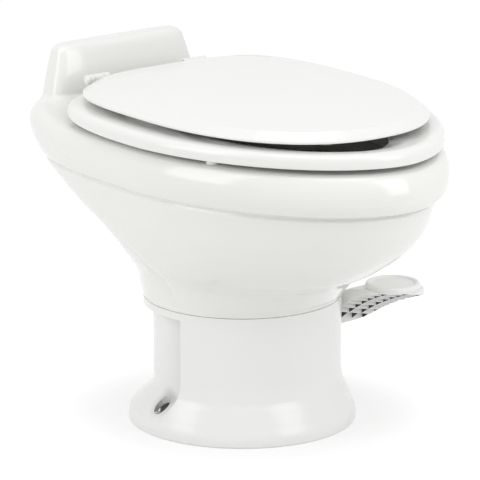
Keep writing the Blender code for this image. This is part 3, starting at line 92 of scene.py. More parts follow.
# Raised cover behind the seat
SHROUD_HEIGHT = 0.0655
SHROUD_HALF = 0.108
SHROUD_DEPTH = 0.048
SHROUD_BACK = 0.269
SHROUD_SQUARENESS = 4.2
SHROUD_FILLET = 0.016
SHROUD_EDGE_RATIO = 0.988
SHROUD_BACK_FILLET_SHARE = 0.4
SHROUD_FOOTING = 0.015
FILLET_ROWS = 14
SHROUD_ROWS = 44
CROWN_SHARES = (0.75, 0.5, 0.25, 0.02)
POCKET_HALF = Vector((0.052, 0.013, 0.024))
POCKET_CENTRE = Vector((0.0, 0.2505, 0.397))
POCKET_ROUND = 0.004

# How the deck rolls off at its edge: ratios of the rim's plan, and heights over the rim
EDGE_DROP_RATIOS = (0.96, 0.9914, 1.0, 1.01)
EDGE_DROPS = (0.0, -0.0029, -0.009, -0.02)

# Pedestal
COLUMN_RADIUS = 0.119
COLUMN_HEIGHT = 0.1543
CORE_RADIUS = 0.107
COLLAR_DEPTH = 0.010
FOOT_RADIUS = 0.137
FOOT_WALL = 0.005
FOOT_PLATE = 0.010
SHELL_EDGE_Y = -0.027
SHELL_CUT_RADIUS = 0.065
SHELL_CUT_BOTTOM = 0.001
SHELL_EDGE_ROUND = 0.0012
WEB_HEIGHT = 0.060
WEB_THICKNESS = 0.004
PIPE_RADIUS = 0.038
PIPE_WALL = 0.005
CHAMBER_RADIUS = 0.050
CHAMBER_OUTER = 0.055
RIB_COUNT = 10
RIB_HALF = 0.0015
FLANGE_TOP = 0.146
FLANGE_BOTTOM = 0.138
BOLT_X = 0.1225
BOLT_Y = 0.008
SCOOP_X = 0.1172
SCOOP_Y = 0.005
SCOOP_RADIUS = 0.0100
LINING_TOP = 0.022
BOSS_RADIUS = 0.0135
BOLT_HOLE_RADIUS = 0.0045
FOOT_SKIN = 0.001
PEDESTAL_ROWS = (6, 10, 26, 52)
EDGE_COLUMNS = 12

# Shaft, flush ball and pedal
SHAFT_HEIGHT = 0.1095
SHAFT_HOLE_RADIUS = 0.0064
BUSHING_HOLE_RADIUS = 0.0113
BALL_RADIUS = 0.046
BALL_WALL = 0.005
BALL_HALF_ANGLE = math.radians(43)
BALL_POLE_ANGLE = math.radians(12)
BALL_HUB_RADIUS = 0.0121
BALL_HUB_STAND = 0.002
BALL_ROWS = 64
BALL_COLUMNS = 40
PEDAL_LENGTH = 0.144
PEDAL_RISE = 0.050
PEDAL_REACH_OUT = 0.150
PEDAL_SQUARENESS = 7.0
PEDAL_TILT = 0.23
PEDAL_RIB = 0.0009
PEDAL_SKIN = 0.0035
CELLS_START = 0.14
CELLS_END = 0.84
CELL_ROWS = 8
CELL_COLUMNS = 3
HUB_RADIUS = 0.018
HUB_START = 0.1093
HUB_END = 0.1365
PAD_Y = -0.102
PEDAL_ROWS = 70
PAD_ROWS = 26
PEDAL_NOSE = ((0.8, 0.0006), (0.4, 0.001), (0.02, 0.0011))

# Inlet
CAM_X = 0.072
INLET_START_Y = 0.065
INLET_END_Y = 0.090
INLET_BOSS_RADIUS = 0.013
INLET_HOLE_RADIUS = 0.0084
SHELF_LOW = Vector((0.061, 0.037, 0.062))
SHELF_HIGH = Vector((0.078, 0.055, 0.0962))

# Seat and lid
SEAT_BOTTOM = 0.372
SEAT_THICKNESS = 0.0145
SEAT_PLAN = (0.1903, 0.302, 0.186)
SEAT_LIP_DROP = 0.0026
SEAT_LIP_WIDTH = 0.09
SEAT_LIP_REAR = 0.125
SEAT_HOLE_PLAN = (0.104, 0.236, 0.096)
SEAT_REAR_POWERS = (3.1, 2.4)
LID_BOTTOM = 0.3945
LID_PLAN = (0.1655, 0.2605, 0.1705)
LID_EDGE = 0.0032
LID_BEVEL = 0.0125
LID_BEVEL_RISE = 0.0087
LID_CROWN = 0.0045
LID_POWERS = (2.25, 3.5)
LID_CROWN_POWER = 2.4
LID_PANEL_INSET = 0.055
LID_PANEL_DEPTH = 0.004
LID_PANEL_MIDDLE = 0.6
LID_EDGE_ROUND = 0.0009
LID_PANEL_ROWS = 3
LID_EDGE_ROWS = 14
LID_BEVEL_ROWS = 9
LID_TOP_ROWS = 26
SEAT_ROWS = 52

# Hinge line and the caps on the pins
HINGE_Y = 0.190
HINGE_HEIGHT = 0.394
HINGE_END = 0.0884
HINGE_BARREL_REACH = 0.00819
HINGE_BORE_RADIUS = 0.0045
HINGE_SLIMMING = 0.74
HINGE_CAP_ROWS = 20
HINGE_CAP_PROFILE = (
    (0.0058, 0.0), (0.0058, 0.0010), (0.0053, 0.0020), (0.0038, 0.0028), (0.0019, 0.0032),
    (0.0003, 0.0033),
)

# Hoses, as points on their routes from the foot centre
HOSE_RADIUS = 0.0065
HOSE_STEPS = 14
HOSE_SIDES = 28
SUPPLY_ROUTE = (
    (0.06925, 0.04825, 0.1305), (0.06925, 0.04825, 0.137), (0.06925, 0.04825, 0.150),
    (0.05475, 0.075, 0.1946), (0.0375, 0.105, 0.2246), (0.0375, 0.140, 0.263), (0.0285, 0.2115, 0.313),
    (0.022, 0.24725, 0.3365), (0.022, 0.2505, 0.363), (0.022, 0.2505, 0.3797),
)
RINSE_ROUTE = (
    (-0.022, 0.2505, 0.380), (-0.022, 0.2505, 0.343), (-0.022, 0.244, 0.323), (0.0, 0.1928, 0.301),
    (0.0, 0.1668, 0.301), (0.0, 0.1603, 0.301),
)

# Return spring on the shaft
SPRING_RADIUS = 0.0105
SPRING_WIRE = 0.0009
SPRING_TURNS = 5
SPRING_START = 0.08289
SPRING_END = 0.09689
SPRING_STEPS = 40
SPRING_SIDES = 10

# Shares of painted shade in the pedestal's recess and over the floor pockets, where little light gets in
RECESS_SHADE = 0.22
RECESS_BACK_SHADE = 0.07
RECESS_FADE = 0.05
SCOOP_SHADE = 0.34
SCOOP_SHADE_PLACE = (0.113, 0.004, 0.028)
SCOOP_SHADE_SIZE = (0.024, 0.026, 0.032)

# Name, colour, roughness, grain scale and grain depth of the plain plastics
PLASTICS = {
    "seat_plastic": ("gloss_seat_plastic", "seat", 0.17, 700.0, 0.000012),
    "pedal_plastic": ("satin_pedal_plastic", "pedal", 0.34, 900.0, 0.00003),
    "valve_plastic": ("black_valve_plastic", "valve", 0.42, 800.0, 0.00004),
    "clear_hose": ("pale_hose", "hose", 0.28, 300.0, 0.00003),
}
# Share of the pedal's colour in the painted shade on the side walls of its cells
CELL_PAINTED_SHADE = 0.05

# Floor: size, greys as seen and as it throws light back, glow, and the painted shadow round the foot with
# its reach
FLOOR_HALF = 9.0
FLOOR_DEPTH = 0.02
FLOOR_SHADOW = 0.30
FLOOR_BOUNCE = 0.86
FLOOR_GLOW = 0.81
FLOOR_PAINTED_SHADOW = (0.84, 0.84, 0.84)
FLOOR_PAINTED_SHADOW_REACH = 0.26

# Name, azimuth, elevation, distance, size and share of the power of each softbox
SOFTBOXES = (
    ("left_softbox", -103, 30, 2.4, (1.15, 2.2), 0.9),
    ("right_softbox", 14, 30, 2.4, (1.2, 2.3), 1.0),
    ("top_softbox", -38, 82, 2.6, (1.6, 1.6), 0.62),
)
LAMP_TARGET = Vector((0.0, 0.0, 0.25))
CAMERA_TARGET = Vector((-0.0050, FOOT_Y - 0.0017, 0.2204))

# Allowances, angles and counts that several pieces share
CUT_OVERRUN = 0.012
TOUCH = 0.0003
WELD = 0.00001
FLAT_ANGLE = math.radians(0.6)
EDGE_ANGLE = math.radians(40)
NEAR_CENTRE = 0.98
AXIS_RADIUS = 0.0004
SMALL_TURN = 48
TURN = 72
LARGE_TURN = 96

# Height over the web's, and share of the flare, on the front shell and on the core behind it
SHELL_FLARE = ((0.0, 1.0), (1 / 8, 1.0), (0.4, 0.75), (2 / 3, 0.4), (5 / 6, 0.125), (7 / 6, 0.0))
CORE_FLARE = ((0.0, 1.3), (1 / 6, 7 / 6), (1 / 3, 5 / 6), (1 / 2, 0.5), (2 / 3, 0.125), (3 / 4, 0.0))

# Height, width, front and rear shares of the outer china, from collar to rim
OUTER_SHARES = (
    (0.0, 0.0, 0.0, 0.0), (0.05, 0.026, 0.050, 0.018), (0.10, 0.058, 0.106, 0.029),
    (0.155, 0.108, 0.176, 0.038), (0.205, 0.190, 0.282, 0.047), (0.255, 0.300, 0.396, 0.064),
    (0.30, 0.395, 0.479, 0.084), (0.38, 0.545, 0.614, 0.156), (0.455, 0.655, 0.718, 0.285),
    (0.55, 0.755, 0.808, 0.523), (0.645, 0.80, 0.864, 0.732), (0.730, 0.84, 0.892, 0.86),
    (0.742, 0.818, 0.876, 0.849), (0.753, 0.826, 0.884, 0.853), (0.764, 0.892, 0.943, 0.884),
    (0.79, 0.945, 0.982, 0.905), (0.835, 0.988, 0.998, 0.93), (0.87, 1.0, 1.0, 0.955),
    (0.91, 0.990, 0.994, 0.987), (0.945, 0.966, 0.981, 1.0), (0.972, 0.930, 0.964, 0.995),
    (0.99, 0.885, 0.942, 0.975), (1.0, 0.82, 0.912, 0.93),
)

# Valley low on the bowl's rear: its width, then height, turn in degrees and depth along it
CREASE_WIDTH = 0.0042
CREASE_LINE = (
    (0.156, 193.0, 0.0), (0.1650, 191.0, 0.0012), (0.1735, 188.5, 0.0016), (0.1942, 185.0, 0.0018),
    (0.2099, 180.5, 0.0018), (0.2306, 173.0, 0.0015), (0.2419, 167.0, 0.0009), (0.2550, 160.0, 0.0),
)

# Height, width, front and rear shares of the basin, from the rim to the outlet
BASIN_SHARES = (
    (1.0, 1.03, 1.02, 1.03), (0.977, 1.0, 1.0, 1.0), (0.894, 0.985, 0.99, 0.985),
    (0.871, 1.03, 1.02, 1.03), (0.816, 1.02, 1.01, 1.02), (0.654, 0.90, 0.90, 0.78),
    (0.493, 0.714, 0.733, 0.55), (0.355, 0.47, 0.517, 0.333), (0.24, 0.245, 0.293, 0.183),
    (0.157, 0.10, 0.095, 0.083), (0.092, 0.02, 0.02, 0.02), (0.0, 0.0, 0.0, 0.0),
)

# Height, width, front and back shares of the raised cover above its fillet
SHROUD_SHARES = (
    (0.14, 1.0, 1.0, -0.01), (0.48, 0.945, 0.92, -0.02), (0.78, 0.893, 0.83, -0.045),
    (0.90, 0.868, 0.765, -0.085), (0.963, 0.825, 0.68, -0.15), (0.99, 0.77, 0.58, -0.23),
    (1.0, 0.70, 0.46, -0.34),
)

# Pedal stations: y from the shaft, centre and half width across, top and bottom heights
PEDAL_STATIONS = (
    (-0.006, 0.1275, 0.0125, 0.1250, 0.0915), (-0.013, 0.1380, 0.0180, 0.1290, 0.0960),
    (-0.021, 0.1478, 0.0255, 0.1335, 0.1015), (-0.030, 0.1500, 0.0295, 0.1390, 0.1080),
    (-0.050, 0.1500, 0.0325, 0.1490, 0.1208), (-0.070, 0.1500, 0.0360, 0.1552, 0.1320),
    (-0.090, 0.1500, 0.0375, 0.1578, 0.1412), (-0.106, 0.1500, 0.0372, 0.1583, 0.1476),
    (-0.118, 0.1500, 0.0338, 0.1583, 0.1516), (-0.128, 0.1500, 0.0270, 0.1582, 0.1545),
    (-0.135, 0.1500, 0.0175, 0.1580, 0.1562), (-0.1385, 0.1500, 0.0085, 0.1578, 0.1568),
)

# Across and height shares of the seat ring's section
SEAT_SECTION = (
    (0.10, 0.0), (0.07, 0.0), (0.025, 0.0), (0.006, 0.03), (0.0, 0.14), (0.005, 0.55), (0.035, 0.82),
    (0.11, 0.97), (0.20, 1.0), (0.36, 0.95), (0.56, 0.78), (0.76, 0.52), (0.92, 0.28), (0.985, 0.16),
    (1.0, 0.10), (0.985, 0.0),
)

# Radius and height of the pedal's pad, with its raised ring
PAD_PROFILE = (
    (0.0004, 0.0044), (0.014, 0.0044), (0.0262, 0.0036), (0.0280, 0.0056), (0.0302, 0.0062),
    (0.0320, 0.0054), (0.0333, 0.0032), (0.0336, 0.0), (0.0336, -0.0012), (0.0004, -0.0012),
)


class ToiletShape(bpy.types.PropertyGroup):
    """Sizes and counts of the dressed pieces."""

    around: IntProperty(
        name="Points around", description="Points round the china, the seat and the lid",
        default=288, min=48, max=512)
    around_pedestal: IntProperty(
        name="Points on the pedestal", description="Points on the front and on the back of the pedestal",
        default=160, min=24, max=400)
    edge_round: FloatProperty(
        name="Edge round", description="Radius on the edges of the small moulded pieces",
        default=0.0006, min=0.0, max=0.002, unit="LENGTH")
    glaze_wave: FloatProperty(
        name="Glaze wave", description="Height of the slow waves in the glaze",
        default=0.00022, min=0.0, max=0.002, unit="LENGTH")


def colour_setting(name, description, value):
    """Colour property with its default."""
    return FloatVectorProperty(
        name=name, description=description, subtype="COLOR", default=value, min=0.0, max=1.0)


class ToiletColours(bpy.types.PropertyGroup):
    """Colours of the finishes."""

    china: colour_setting("China", "Glaze of the bowl", (0.84, 0.84, 0.815))
    seat: colour_setting("Seat", "Plastic of the seat, the lid and their hinges", (0.85, 0.85, 0.832))
    pedestal: colour_setting("Pedestal", "Plastic of the pedestal", (0.85, 0.85, 0.838))
    pedal: colour_setting("Pedal", "Plastic of the foot pedal", (0.88, 0.878, 0.86))
    valve: colour_setting("Valve", "Plastic of the valve and the clamp", (0.045, 0.045, 0.05))
    rubber: colour_setting("Rubber", "Rubber of the seals", (0.03, 0.03, 0.03))
    steel: colour_setting("Steel", "Steel of the shafts and fasteners", (0.60, 0.60, 0.61))
    hose: colour_setting("Hose", "Plastic of the hoses", (0.66, 0.68, 0.66))


class ToiletStudio(bpy.types.PropertyGroup):
    """Camera and lights."""

    azimuth: FloatProperty(
        name="Azimuth", description="Camera's turn about the object", subtype="ANGLE",
        default=math.radians(-38.2))
    elevation: FloatProperty(
        name="Elevation", description="Camera's height above the horizon", subtype="ANGLE",
        default=math.radians(14.95))
    distance: FloatProperty(
        name="Distance", description="Camera's distance from its target",
        default=5.39, min=1.0, unit="LENGTH")
    lens: FloatProperty(
        name="Lens", description="Focal length in millimetres", default=338.0, min=20.0)
    world_level: FloatProperty(
        name="World level", description="Strength of the even light", default=0.59, min=0.0, max=2.0)
    box_power: FloatProperty(
        name="Softbox power", description="Power of each softbox in watts", default=19.4, min=0.0)


class Wire:
    """A shader value that can be used in sums."""

    def __init__(self, finish, socket):
        self.finish = finish
        self.socket = socket

    def sum(self, operation, first, second):
        """Return the result of one Math node."""
        return self.finish.node("ShaderNodeMath", {"operation": operation}, {0: first, 1: second})

    def __add__(self, other):
        return self.sum("ADD", self, other)

    def __radd__(self, other):
        return self.sum("ADD", other, self)

    def __sub__(self, other):
        return self.sum("SUBTRACT", self, other)

    def __rsub__(self, other):
        return self.sum("SUBTRACT", other, self)

    def __mul__(self, other):
        return self.sum("MULTIPLY", self, other)

    def __rmul__(self, other):
        return self.sum("MULTIPLY", other, self)

    def __abs__(self):
        return self.sum("ABSOLUTE", self, 0.0)


class Finish:
    """One material, built node by node round its Principled shader."""

    def __init__(self, name, roughness, metallic=0.0):
        self.material = bpy.data.materials.new(name)
        self.material.use_nodes = True
        self.tree = self.material.node_tree
        self.shader = self.tree.nodes["Principled BSDF"]
        self.shader.inputs["Roughness"].default_value = roughness
        self.shader.inputs["Metallic"].default_value = metallic

    def node(self, kind, settings=None, sockets=None, output=0):
        """Add a node, set it up, feed its sockets and return one output."""
        node = self.tree.nodes.new(kind)
        for key, value in (settings or {}).items():
            setattr(node, key, value)
        for key, value in (sockets or {}).items():
            if isinstance(value, Wire):
                self.tree.links.new(value.socket, node.inputs[key])
            else:
                node.inputs[key].default_value = value
        return Wire(self, node.outputs[output])

    def place(self, stretch=(1.0, 1.0, 1.0)):
        """Object coordinates, stretched."""
        spot = self.node("ShaderNodeTexCoord", output="Object")
        return self.node("ShaderNodeMapping", None, {"Vector": spot, "Scale": stretch})

    def coordinates(self):
        """X, Y and Z of the object's coordinates."""
        first = self.node("ShaderNodeSeparateXYZ", None, {"Vector": self.place()})
        return [Wire(self, output) for output in first.socket.node.outputs]

    def noise(self, scale, detail=2.0, stretch=(1.0, 1.0, 1.0)):
        """Noise from 0 to 1 on the object's coordinates."""
        sockets = {"Vector": self.place(stretch), "Scale": scale, "Detail": detail}
        return self.node("ShaderNodeTexNoise", None, sockets)

    def mix(self, factor, first, second):
        """Mix of two colours, each a wire or three numbers."""
        sides = [side if isinstance(side, Wire) else (*side, 1.0) for side in (first, second)]
        sockets = {0: factor, 6: sides[0], 7: sides[1]}
        return self.node("ShaderNodeMix", {"data_type": "RGBA"}, sockets, output=2)

    def limited(self, wire, low, high):
        """Share of a value between two limits, held from 0 to 1 and eased."""
        settings = {"interpolation_type": "SMOOTHSTEP"}
        return self.node("ShaderNodeMapRange", settings, {"Value": wire, "From Min": low, "From Max": high})

    def feed(self, name, wire):
        """Link a wire to a socket of the shader."""
        self.tree.links.new(wire.socket, self.shader.inputs[name])

    def bump(self, height, distance):
        """Link a height to the shader's normal."""
        sockets = {"Height": height, "Distance": distance, "Strength": 1.0}
        self.feed("Normal", self.node("ShaderNodeBump", None, sockets))


def tinted(colour, share):
    """A colour scaled by a share."""
    return tuple(channel * share for channel in colour)


def china_finish():
    """Vitreous glaze: clear coat over white, slow waves and fine orange peel."""
    finish = Finish("glazed_china", 0.1)
    colour = bpy.context.scene.toilet_colours.china
    cloud = finish.noise(5.0, 3.0)
    finish.feed("Base Color", finish.mix(cloud, tinted(colour, 0.985), tinted(colour, 1.01)))
    finish.feed("Roughness", 0.07 + finish.noise(26.0, 3.0) * 0.07)
    finish.shader.inputs["Coat Weight"].default_value = 0.2
    finish.shader.inputs["Coat Roughness"].default_value = 0.06
    waves = finish.noise(11.0, 1.0) + finish.noise(90.0, 1.0) * 0.05
    finish.bump(waves, bpy.context.scene.toilet_shape.glaze_wave)
    return finish.material


def moulded_finish(name, colour, roughness, grain, depth, shade=None):
    """Moulded plastic: faint flow marks, a fine grain and, where one is given, a painted shade that darkens
    it.
    """
    finish = Finish(name, roughness)
    cloud = finish.noise(7.0, 2.0, (1.0, 1.0, 2.2))
    base = finish.mix(cloud, tinted(colour, 0.985), tinted(colour, 1.012))
    if shade:
        # Painted shade: the colour is mixed towards black by the shade's share
        base = finish.mix(shade(finish), base, (0.0, 0.0, 0.0))
    finish.feed("Base Color", base)
    finish.feed("Roughness", roughness + (finish.noise(38.0, 4.0) - 0.5) * (roughness * 0.5))
    finish.bump(finish.noise(grain, 2.0) + finish.noise(16.0, 1.0) * 2.0, depth)
    return finish.material


def painted_recess_shade(finish):
    """Share of painted shade where little light gets in behind the pedestal's front shell.

    The recess share rises from 0 at the shell to 1 on the core, and the floor
    share falls from 1 in the middle of each floor pocket as d^2 goes from 0 to 1.
    """
    x, y, z = finish.coordinates()
    deep = y - FOOT_Y
    away = finish.limited(x * x + deep * deep, CORE_RADIUS ** 2, (COLUMN_RADIUS - SHELL_EDGE_ROUND) ** 2)
    behind = finish.limited(deep, SHELL_EDGE_Y, SHELL_EDGE_Y + RECESS_FADE)
    recess = (1.0 - away) * (RECESS_SHADE - behind * (RECESS_SHADE - RECESS_BACK_SHADE))
    offsets = [
        (value - middle) * (1 / size)
        for value, middle, size in zip((abs(x), deep, z), SCOOP_SHADE_PLACE, SCOOP_SHADE_SIZE)]
    aside, along, above = offsets
    near = 1.0 - finish.limited(aside * aside + along * along + above * above, 0.0, 1.0)
    return finish.limited(recess + near * SCOOP_SHADE, 0.0, 1.0)


def rubber_finish():
    """Matte rubber with a bloom and a fine grain."""
    finish = Finish("black_rubber", 0.7)
    colour = bpy.context.scene.toilet_colours.rubber
    finish.feed("Base Color", finish.mix(finish.noise(60.0, 4.0), colour, tinted(colour, 1.8)))
    finish.feed("Roughness", 0.62 + finish.noise(140.0) * 0.2)
    finish.bump(finish.noise(900.0), 0.00004)
    return finish.material


def steel_finish():
    """Turned steel with fine marks drawn along Y and Z."""
    finish = Finish("turned_steel", 0.36, 1.0)
    colour = bpy.context.scene.toilet_colours.steel
    marks = finish.noise(420.0, 3.0, (1.0, 0.06, 0.06))
    finish.feed("Base Color", finish.mix(marks, tinted(colour, 0.82), tinted(colour, 1.12)))
    finish.feed("Roughness", 0.38 + marks * 0.2)
    finish.bump(marks, 0.00002)
    return finish.material


def finishes():
    """One material for each slot of the record, and one of painted shade for the side walls of the pedal's
    cells.
    """
    colours = bpy.context.scene.toilet_colours
    made = {"china": china_finish(), "rubber": rubber_finish(), "steel": steel_finish()}
    for slot, (name, colour, roughness, grain, depth) in PLASTICS.items():
        made[slot] = moulded_finish(name, getattr(colours, colour), roughness, grain, depth)
    # The pedestal's plastic carries a painted shade in its recess and over its floor pockets
    made["pedestal_plastic"] = moulded_finish(
        "gloss_pedestal_plastic", colours.pedestal, 0.2, 600.0, 0.000016, painted_recess_shade)
    # Painted shade: the side walls of the pedal's cells get a near-black copy of its plastic
    cells = tinted(colours.pedal, CELL_PAINTED_SHADE)
    made["pedal_cells"] = moulded_finish("shaded_cell_walls", cells, 0.6, 900.0, 0.00003)
    return made


def monotone(knots, values, wanted):
    """Monotone cubic through rows of values.

    On each span it is the Hermite sum of the end values and slopes, where an
    inner slope is the harmonic mean of the two secants, or 0 where they turn.
    """
    flat = values.reshape(len(values), -1)
    step = np.diff(knots)[:, None]
    secant = np.diff(flat, axis=0) / step
    agree = secant[:-1] * secant[1:] > 0
    total = np.where(agree, secant[:-1] + secant[1:], 1.0)
    inner = np.where(agree, 2 * secant[:-1] * secant[1:] / total, 0.0)
    slope = np.vstack([secant[:1], inner, secant[-1:]])
    span = np.clip(np.searchsorted(knots, wanted, side="right") - 1, 0, len(knots) - 2)
    width = step[span]
    t = (wanted - knots[span])[:, None] / width
    result = flat[span] * (1 + 2 * t) * (1 - t) ** 2
    result += flat[span + 1] * t ** 2 * (3 - 2 * t)
    result += slope[span] * width * t * (1 - t) ** 2
    result -= slope[span + 1] * width * t ** 2 * (1 - t)
    return result.reshape(len(wanted), *values.shape[1:])


def flow(rings, count):
    """Rows of a smooth surface through a few rings, every ring among them."""
    rings = np.asarray(rings, dtype=float)
    gaps = np.linalg.norm(np.diff(rings, axis=0), axis=-1).mean(axis=1)
    knots = np.concatenate([[0.0], np.cumsum(gaps)])
    wanted = np.union1d(np.linspace(0.0, knots[-1], count), knots)
    return monotone(knots, rings, wanted)


def straight(rings, count):
    """Rows of a ruled surface through a few rings, count to a span."""
    rings = np.asarray(rings, dtype=float)
    places = np.linspace(0, len(rings) - 1, (len(rings) - 1) * count + 1)
    low = np.minimum(places.astype(int), len(rings) - 2)
    share = (places - low)[:, None, None]
    return rings[low] * (1 - share) + rings[low + 1] * share


def outline(width, front, rear, widest, front_power=2.0, rear_power=2.0, around=None):
    """Two half superellipses that meet at the widest line.

    In direction (c, s) the unit outline lies at (|c|^p + |s|^p)^(-1/p).
    """
    count = around or bpy.context.scene.toilet_shape.around
    turn = np.linspace(0.0, math.tau, count, endpoint=False)
    across, along = np.cos(turn), np.sin(turn)
    power = np.where(along > 0, rear_power, front_power)
    reach = np.where(along > 0, rear - widest, front + widest)
    radius = (np.abs(across) ** power + np.abs(along) ** power) ** (-1 / power)
    return np.stack([width * across * radius, widest + reach * along * radius], axis=1)


def level(plan, height):
    """A plan outline set at a height, in the frame."""
    rise = np.broadcast_to(height, (len(plan),))
    return np.column_stack([plan[:, 0], plan[:, 1] + FOOT_Y, rise])


def turned(profile, count):
    """Rows of points (r cos a, r sin a, h) for each (r, h) of a profile."""
    profile = np.asarray(profile, dtype=float)
    turn = np.linspace(0.0, math.tau, count, endpoint=False)
    circle = np.stack([np.cos(turn), np.sin(turn)], axis=1)
    flat = profile[:, None, :1] * circle[None, :, :]
    height = np.broadcast_to(profile[:, None, 1:], (len(profile), count, 1))
    return np.concatenate([flat, height], axis=2)


def along_x(rows):
    """Lay rows that were turned about Z along X."""
    return rows[..., [2, 0, 1]]


def along_y(rows):
    """Lay rows that were turned about Z along Y."""
    return rows[..., [1, 2, 0]]


def moved(rows, x=0.0, y=0.0, z=0.0):
    """Rows moved from the foot centre to a place in the frame."""
    return rows + np.array((x, y + FOOT_Y, z))


def surface(name, rows, ends="caps"):
    """Object from a grid of rows that close round; its ends are caps, or join in a loop."""
    count, around = rows.shape[:2]
    index = np.arange(count * around).reshape(count, around)
    low, high = (index, np.roll(index, -1, axis=0)) if ends == "loop" else (index[:-1], index[1:])
    quads = np.stack([low, np.roll(low, -1, 1), np.roll(high, -1, 1), high], axis=-1)
    faces = quads.reshape(-1, 4).tolist()
    if ends == "caps":
        faces += [index[0][::-1].tolist(), index[-1].tolist()]
    mesh = bpy.data.meshes.new(name)
    mesh.from_pydata(rows.reshape(-1, 3).tolist(), [], faces)
    face_out(mesh)
    item = bpy.data.objects.new(name, mesh)
    bpy.context.scene.collection.objects.link(item)
    return item


def face_out(mesh):
    """Turn every face of a closed mesh outwards."""
    shape = bmesh.new()
    shape.from_mesh(mesh)
    bmesh.ops.recalc_face_normals(shape, faces=shape.faces)
    shape.to_mesh(mesh)
    shape.free()


def block(name, low, high, edge=0.0):
    """Box between two corners measured from the foot centre, with rounded edges."""
    low, high = Vector(low), Vector(high)
    shape = bmesh.new()
    size = Matrix.Diagonal((*(high - low), 1))
    middle = (low + high) / 2 + Vector((0, FOOT_Y, 0))
    bmesh.ops.create_cube(shape, size=1, matrix=Matrix.Translation(middle) @ size)
    if edge:
        bmesh.ops.bevel(shape, geom=shape.edges[:], offset=edge, segments=4, profile=0.5, affect="EDGES")
    mesh = bpy.data.meshes.new(name)
    shape.to_mesh(mesh)
    shape.free()
    item = bpy.data.objects.new(name, mesh)
    bpy.context.scene.collection.objects.link(item)
    return item


def gather(item, others):
    """Add the meshes of other objects to an item and remove the others."""
    shape = bmesh.new()
    shape.from_mesh(item.data)
    for other in others:
        shape.from_mesh(other.data)
        bpy.data.objects.remove(other, do_unlink=True)
    shape.to_mesh(item.data)
    shape.free()
    return item


def cut(item, cutter):
    """Cut one object's shape out of an item and remove the cutter."""
    step = item.modifiers.new("cut", "BOOLEAN")
    step.operation = "DIFFERENCE"
    step.solver = "EXACT"
    step.object = cutter
    bpy.context.view_layer.update()
    result = bpy.data.meshes.new_from_object(item.evaluated_get(bpy.context.evaluated_depsgraph_get()))
    item.modifiers.clear()
    old, item.data = item.data, result
    bpy.data.meshes.remove(old)
    bpy.data.objects.remove(cutter, do_unlink=True)


def dress(item, body, slot, nodes, sharp=35.0):
    """Shade an item smooth, put it on its body and give it its finish.

    The pedal comes with two materials, its plastic and the painted shade on its cells' side walls, and keeps
    them.
    """
    item.data.shade_smooth()
    item.data.set_sharp_from_angle(angle=math.radians(sharp))
    if len(item.data.materials) < 2:
        item.data.materials.clear()
        item.data.materials.append(Kit.materials[slot])
    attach(item, body)
    if nodes:
        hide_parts(*nodes)
    return item


class Kit:
    """Materials shared by the operators."""

    materials = {}


def body_of_node(node):
    """Name of the body that a CAD node belongs to."""
    for body, nodes in frame["record"]["behaviour"]["bodies"].items():
        if node in nodes:
            return body
    raise KeyError(node)


def slimmed(mesh):
    """Draw the barrel of a hinge piece in towards the hinge line, all but its bore."""
    places = np.empty(len(mesh.vertices) * 3)
    mesh.vertices.foreach_get("co", places)
    places = places.reshape(-1, 3)
    line = np.array((HINGE_Y + FOOT_Y, HINGE_HEIGHT))
    offset = places[:, 1:] - line
    away = np.linalg.norm(offset, axis=1)
    on_barrel = (away < HINGE_BARREL_REACH) & (away > HINGE_BORE_RADIUS)
    places[on_barrel, 1:] = line + offset[on_barrel] * HINGE_SLIMMING
    mesh.vertices.foreach_set("co", places.ravel())


def softened(node, slot):
    """Copy of a CAD node with its flats joined and its edges rounded."""
    source = frame["nodes"][node]
    shape = bmesh.new()
    shape.from_mesh(source.data)
    bmesh.ops.remove_doubles(shape, verts=shape.verts, dist=WELD)
    bmesh.ops.dissolve_limit(shape, angle_limit=FLAT_ANGLE, verts=shape.verts, edges=shape.edges)
    mesh = bpy.data.meshes.new(node + "_finished")
    shape.to_mesh(mesh)
    shape.free()
    if "hinge" in node and "pin" not in node:
        slimmed(mesh)
    item = bpy.data.objects.new(node + "_finished", mesh)
    bpy.context.scene.collection.objects.link(item)
    bevel = item.modifiers.new("edge_round", "BEVEL")
    bevel.width = bpy.context.scene.toilet_shape.edge_round
    bevel.segments = 2
    bevel.limit_method = "ANGLE"
    bevel.angle_limit = EDGE_ANGLE
    return dress(item, body_of_node(node), slot, [node])


def grown(radius, sizes, shares, outset):
    """Half width, front and rear of a plan that grows from a circle by its shares."""
    return [radius + share * (size - radius) + outset for size, share in zip(sizes, shares)]


def outer_ring(shares, inset=0.0, height=None):
    """One ring of the outer china, which grows from the collar circle."""
    height_share, *plan_shares = shares
    if height is None:
        height = SEAM_HEIGHT + height_share * (RIM_HEIGHT - SEAM_HEIGHT)
    sizes = grown(COLUMN_RADIUS, (BOWL_HALF, FRONT_REACH, REAR_REACH), plan_shares, -inset)
    rear = plan_shares[-1]
    powers = (2 - FRONT_SHARPNESS * rear, 2 + REAR_SQUARENESS * rear)
    return level(outline(*sizes, -WIDEST_SETBACK * rear, *powers), height)


def basin_ring(shares, outset=0.0, drop=0.0, height=None):
    """One ring of the basin, which narrows to the round outlet."""
    height_share, *plan_shares = shares
    if height is None:
        height = OUTLET_HEIGHT + height_share * (RIM_HEIGHT - OUTLET_HEIGHT) - drop
    sizes = grown(OUTLET_RADIUS, (OPENING_HALF, OPENING_FRONT, OPENING_REAR), plan_shares, outset)
    rear = plan_shares[-1]
    return level(outline(*sizes, -WIDEST_SETBACK * rear, rear_power=2 + rear / 2), height)


def round_ring(radius, height):
    """A circle with as many points as the china rings."""
    return level(outline(radius, radius, radius, 0.0), height)


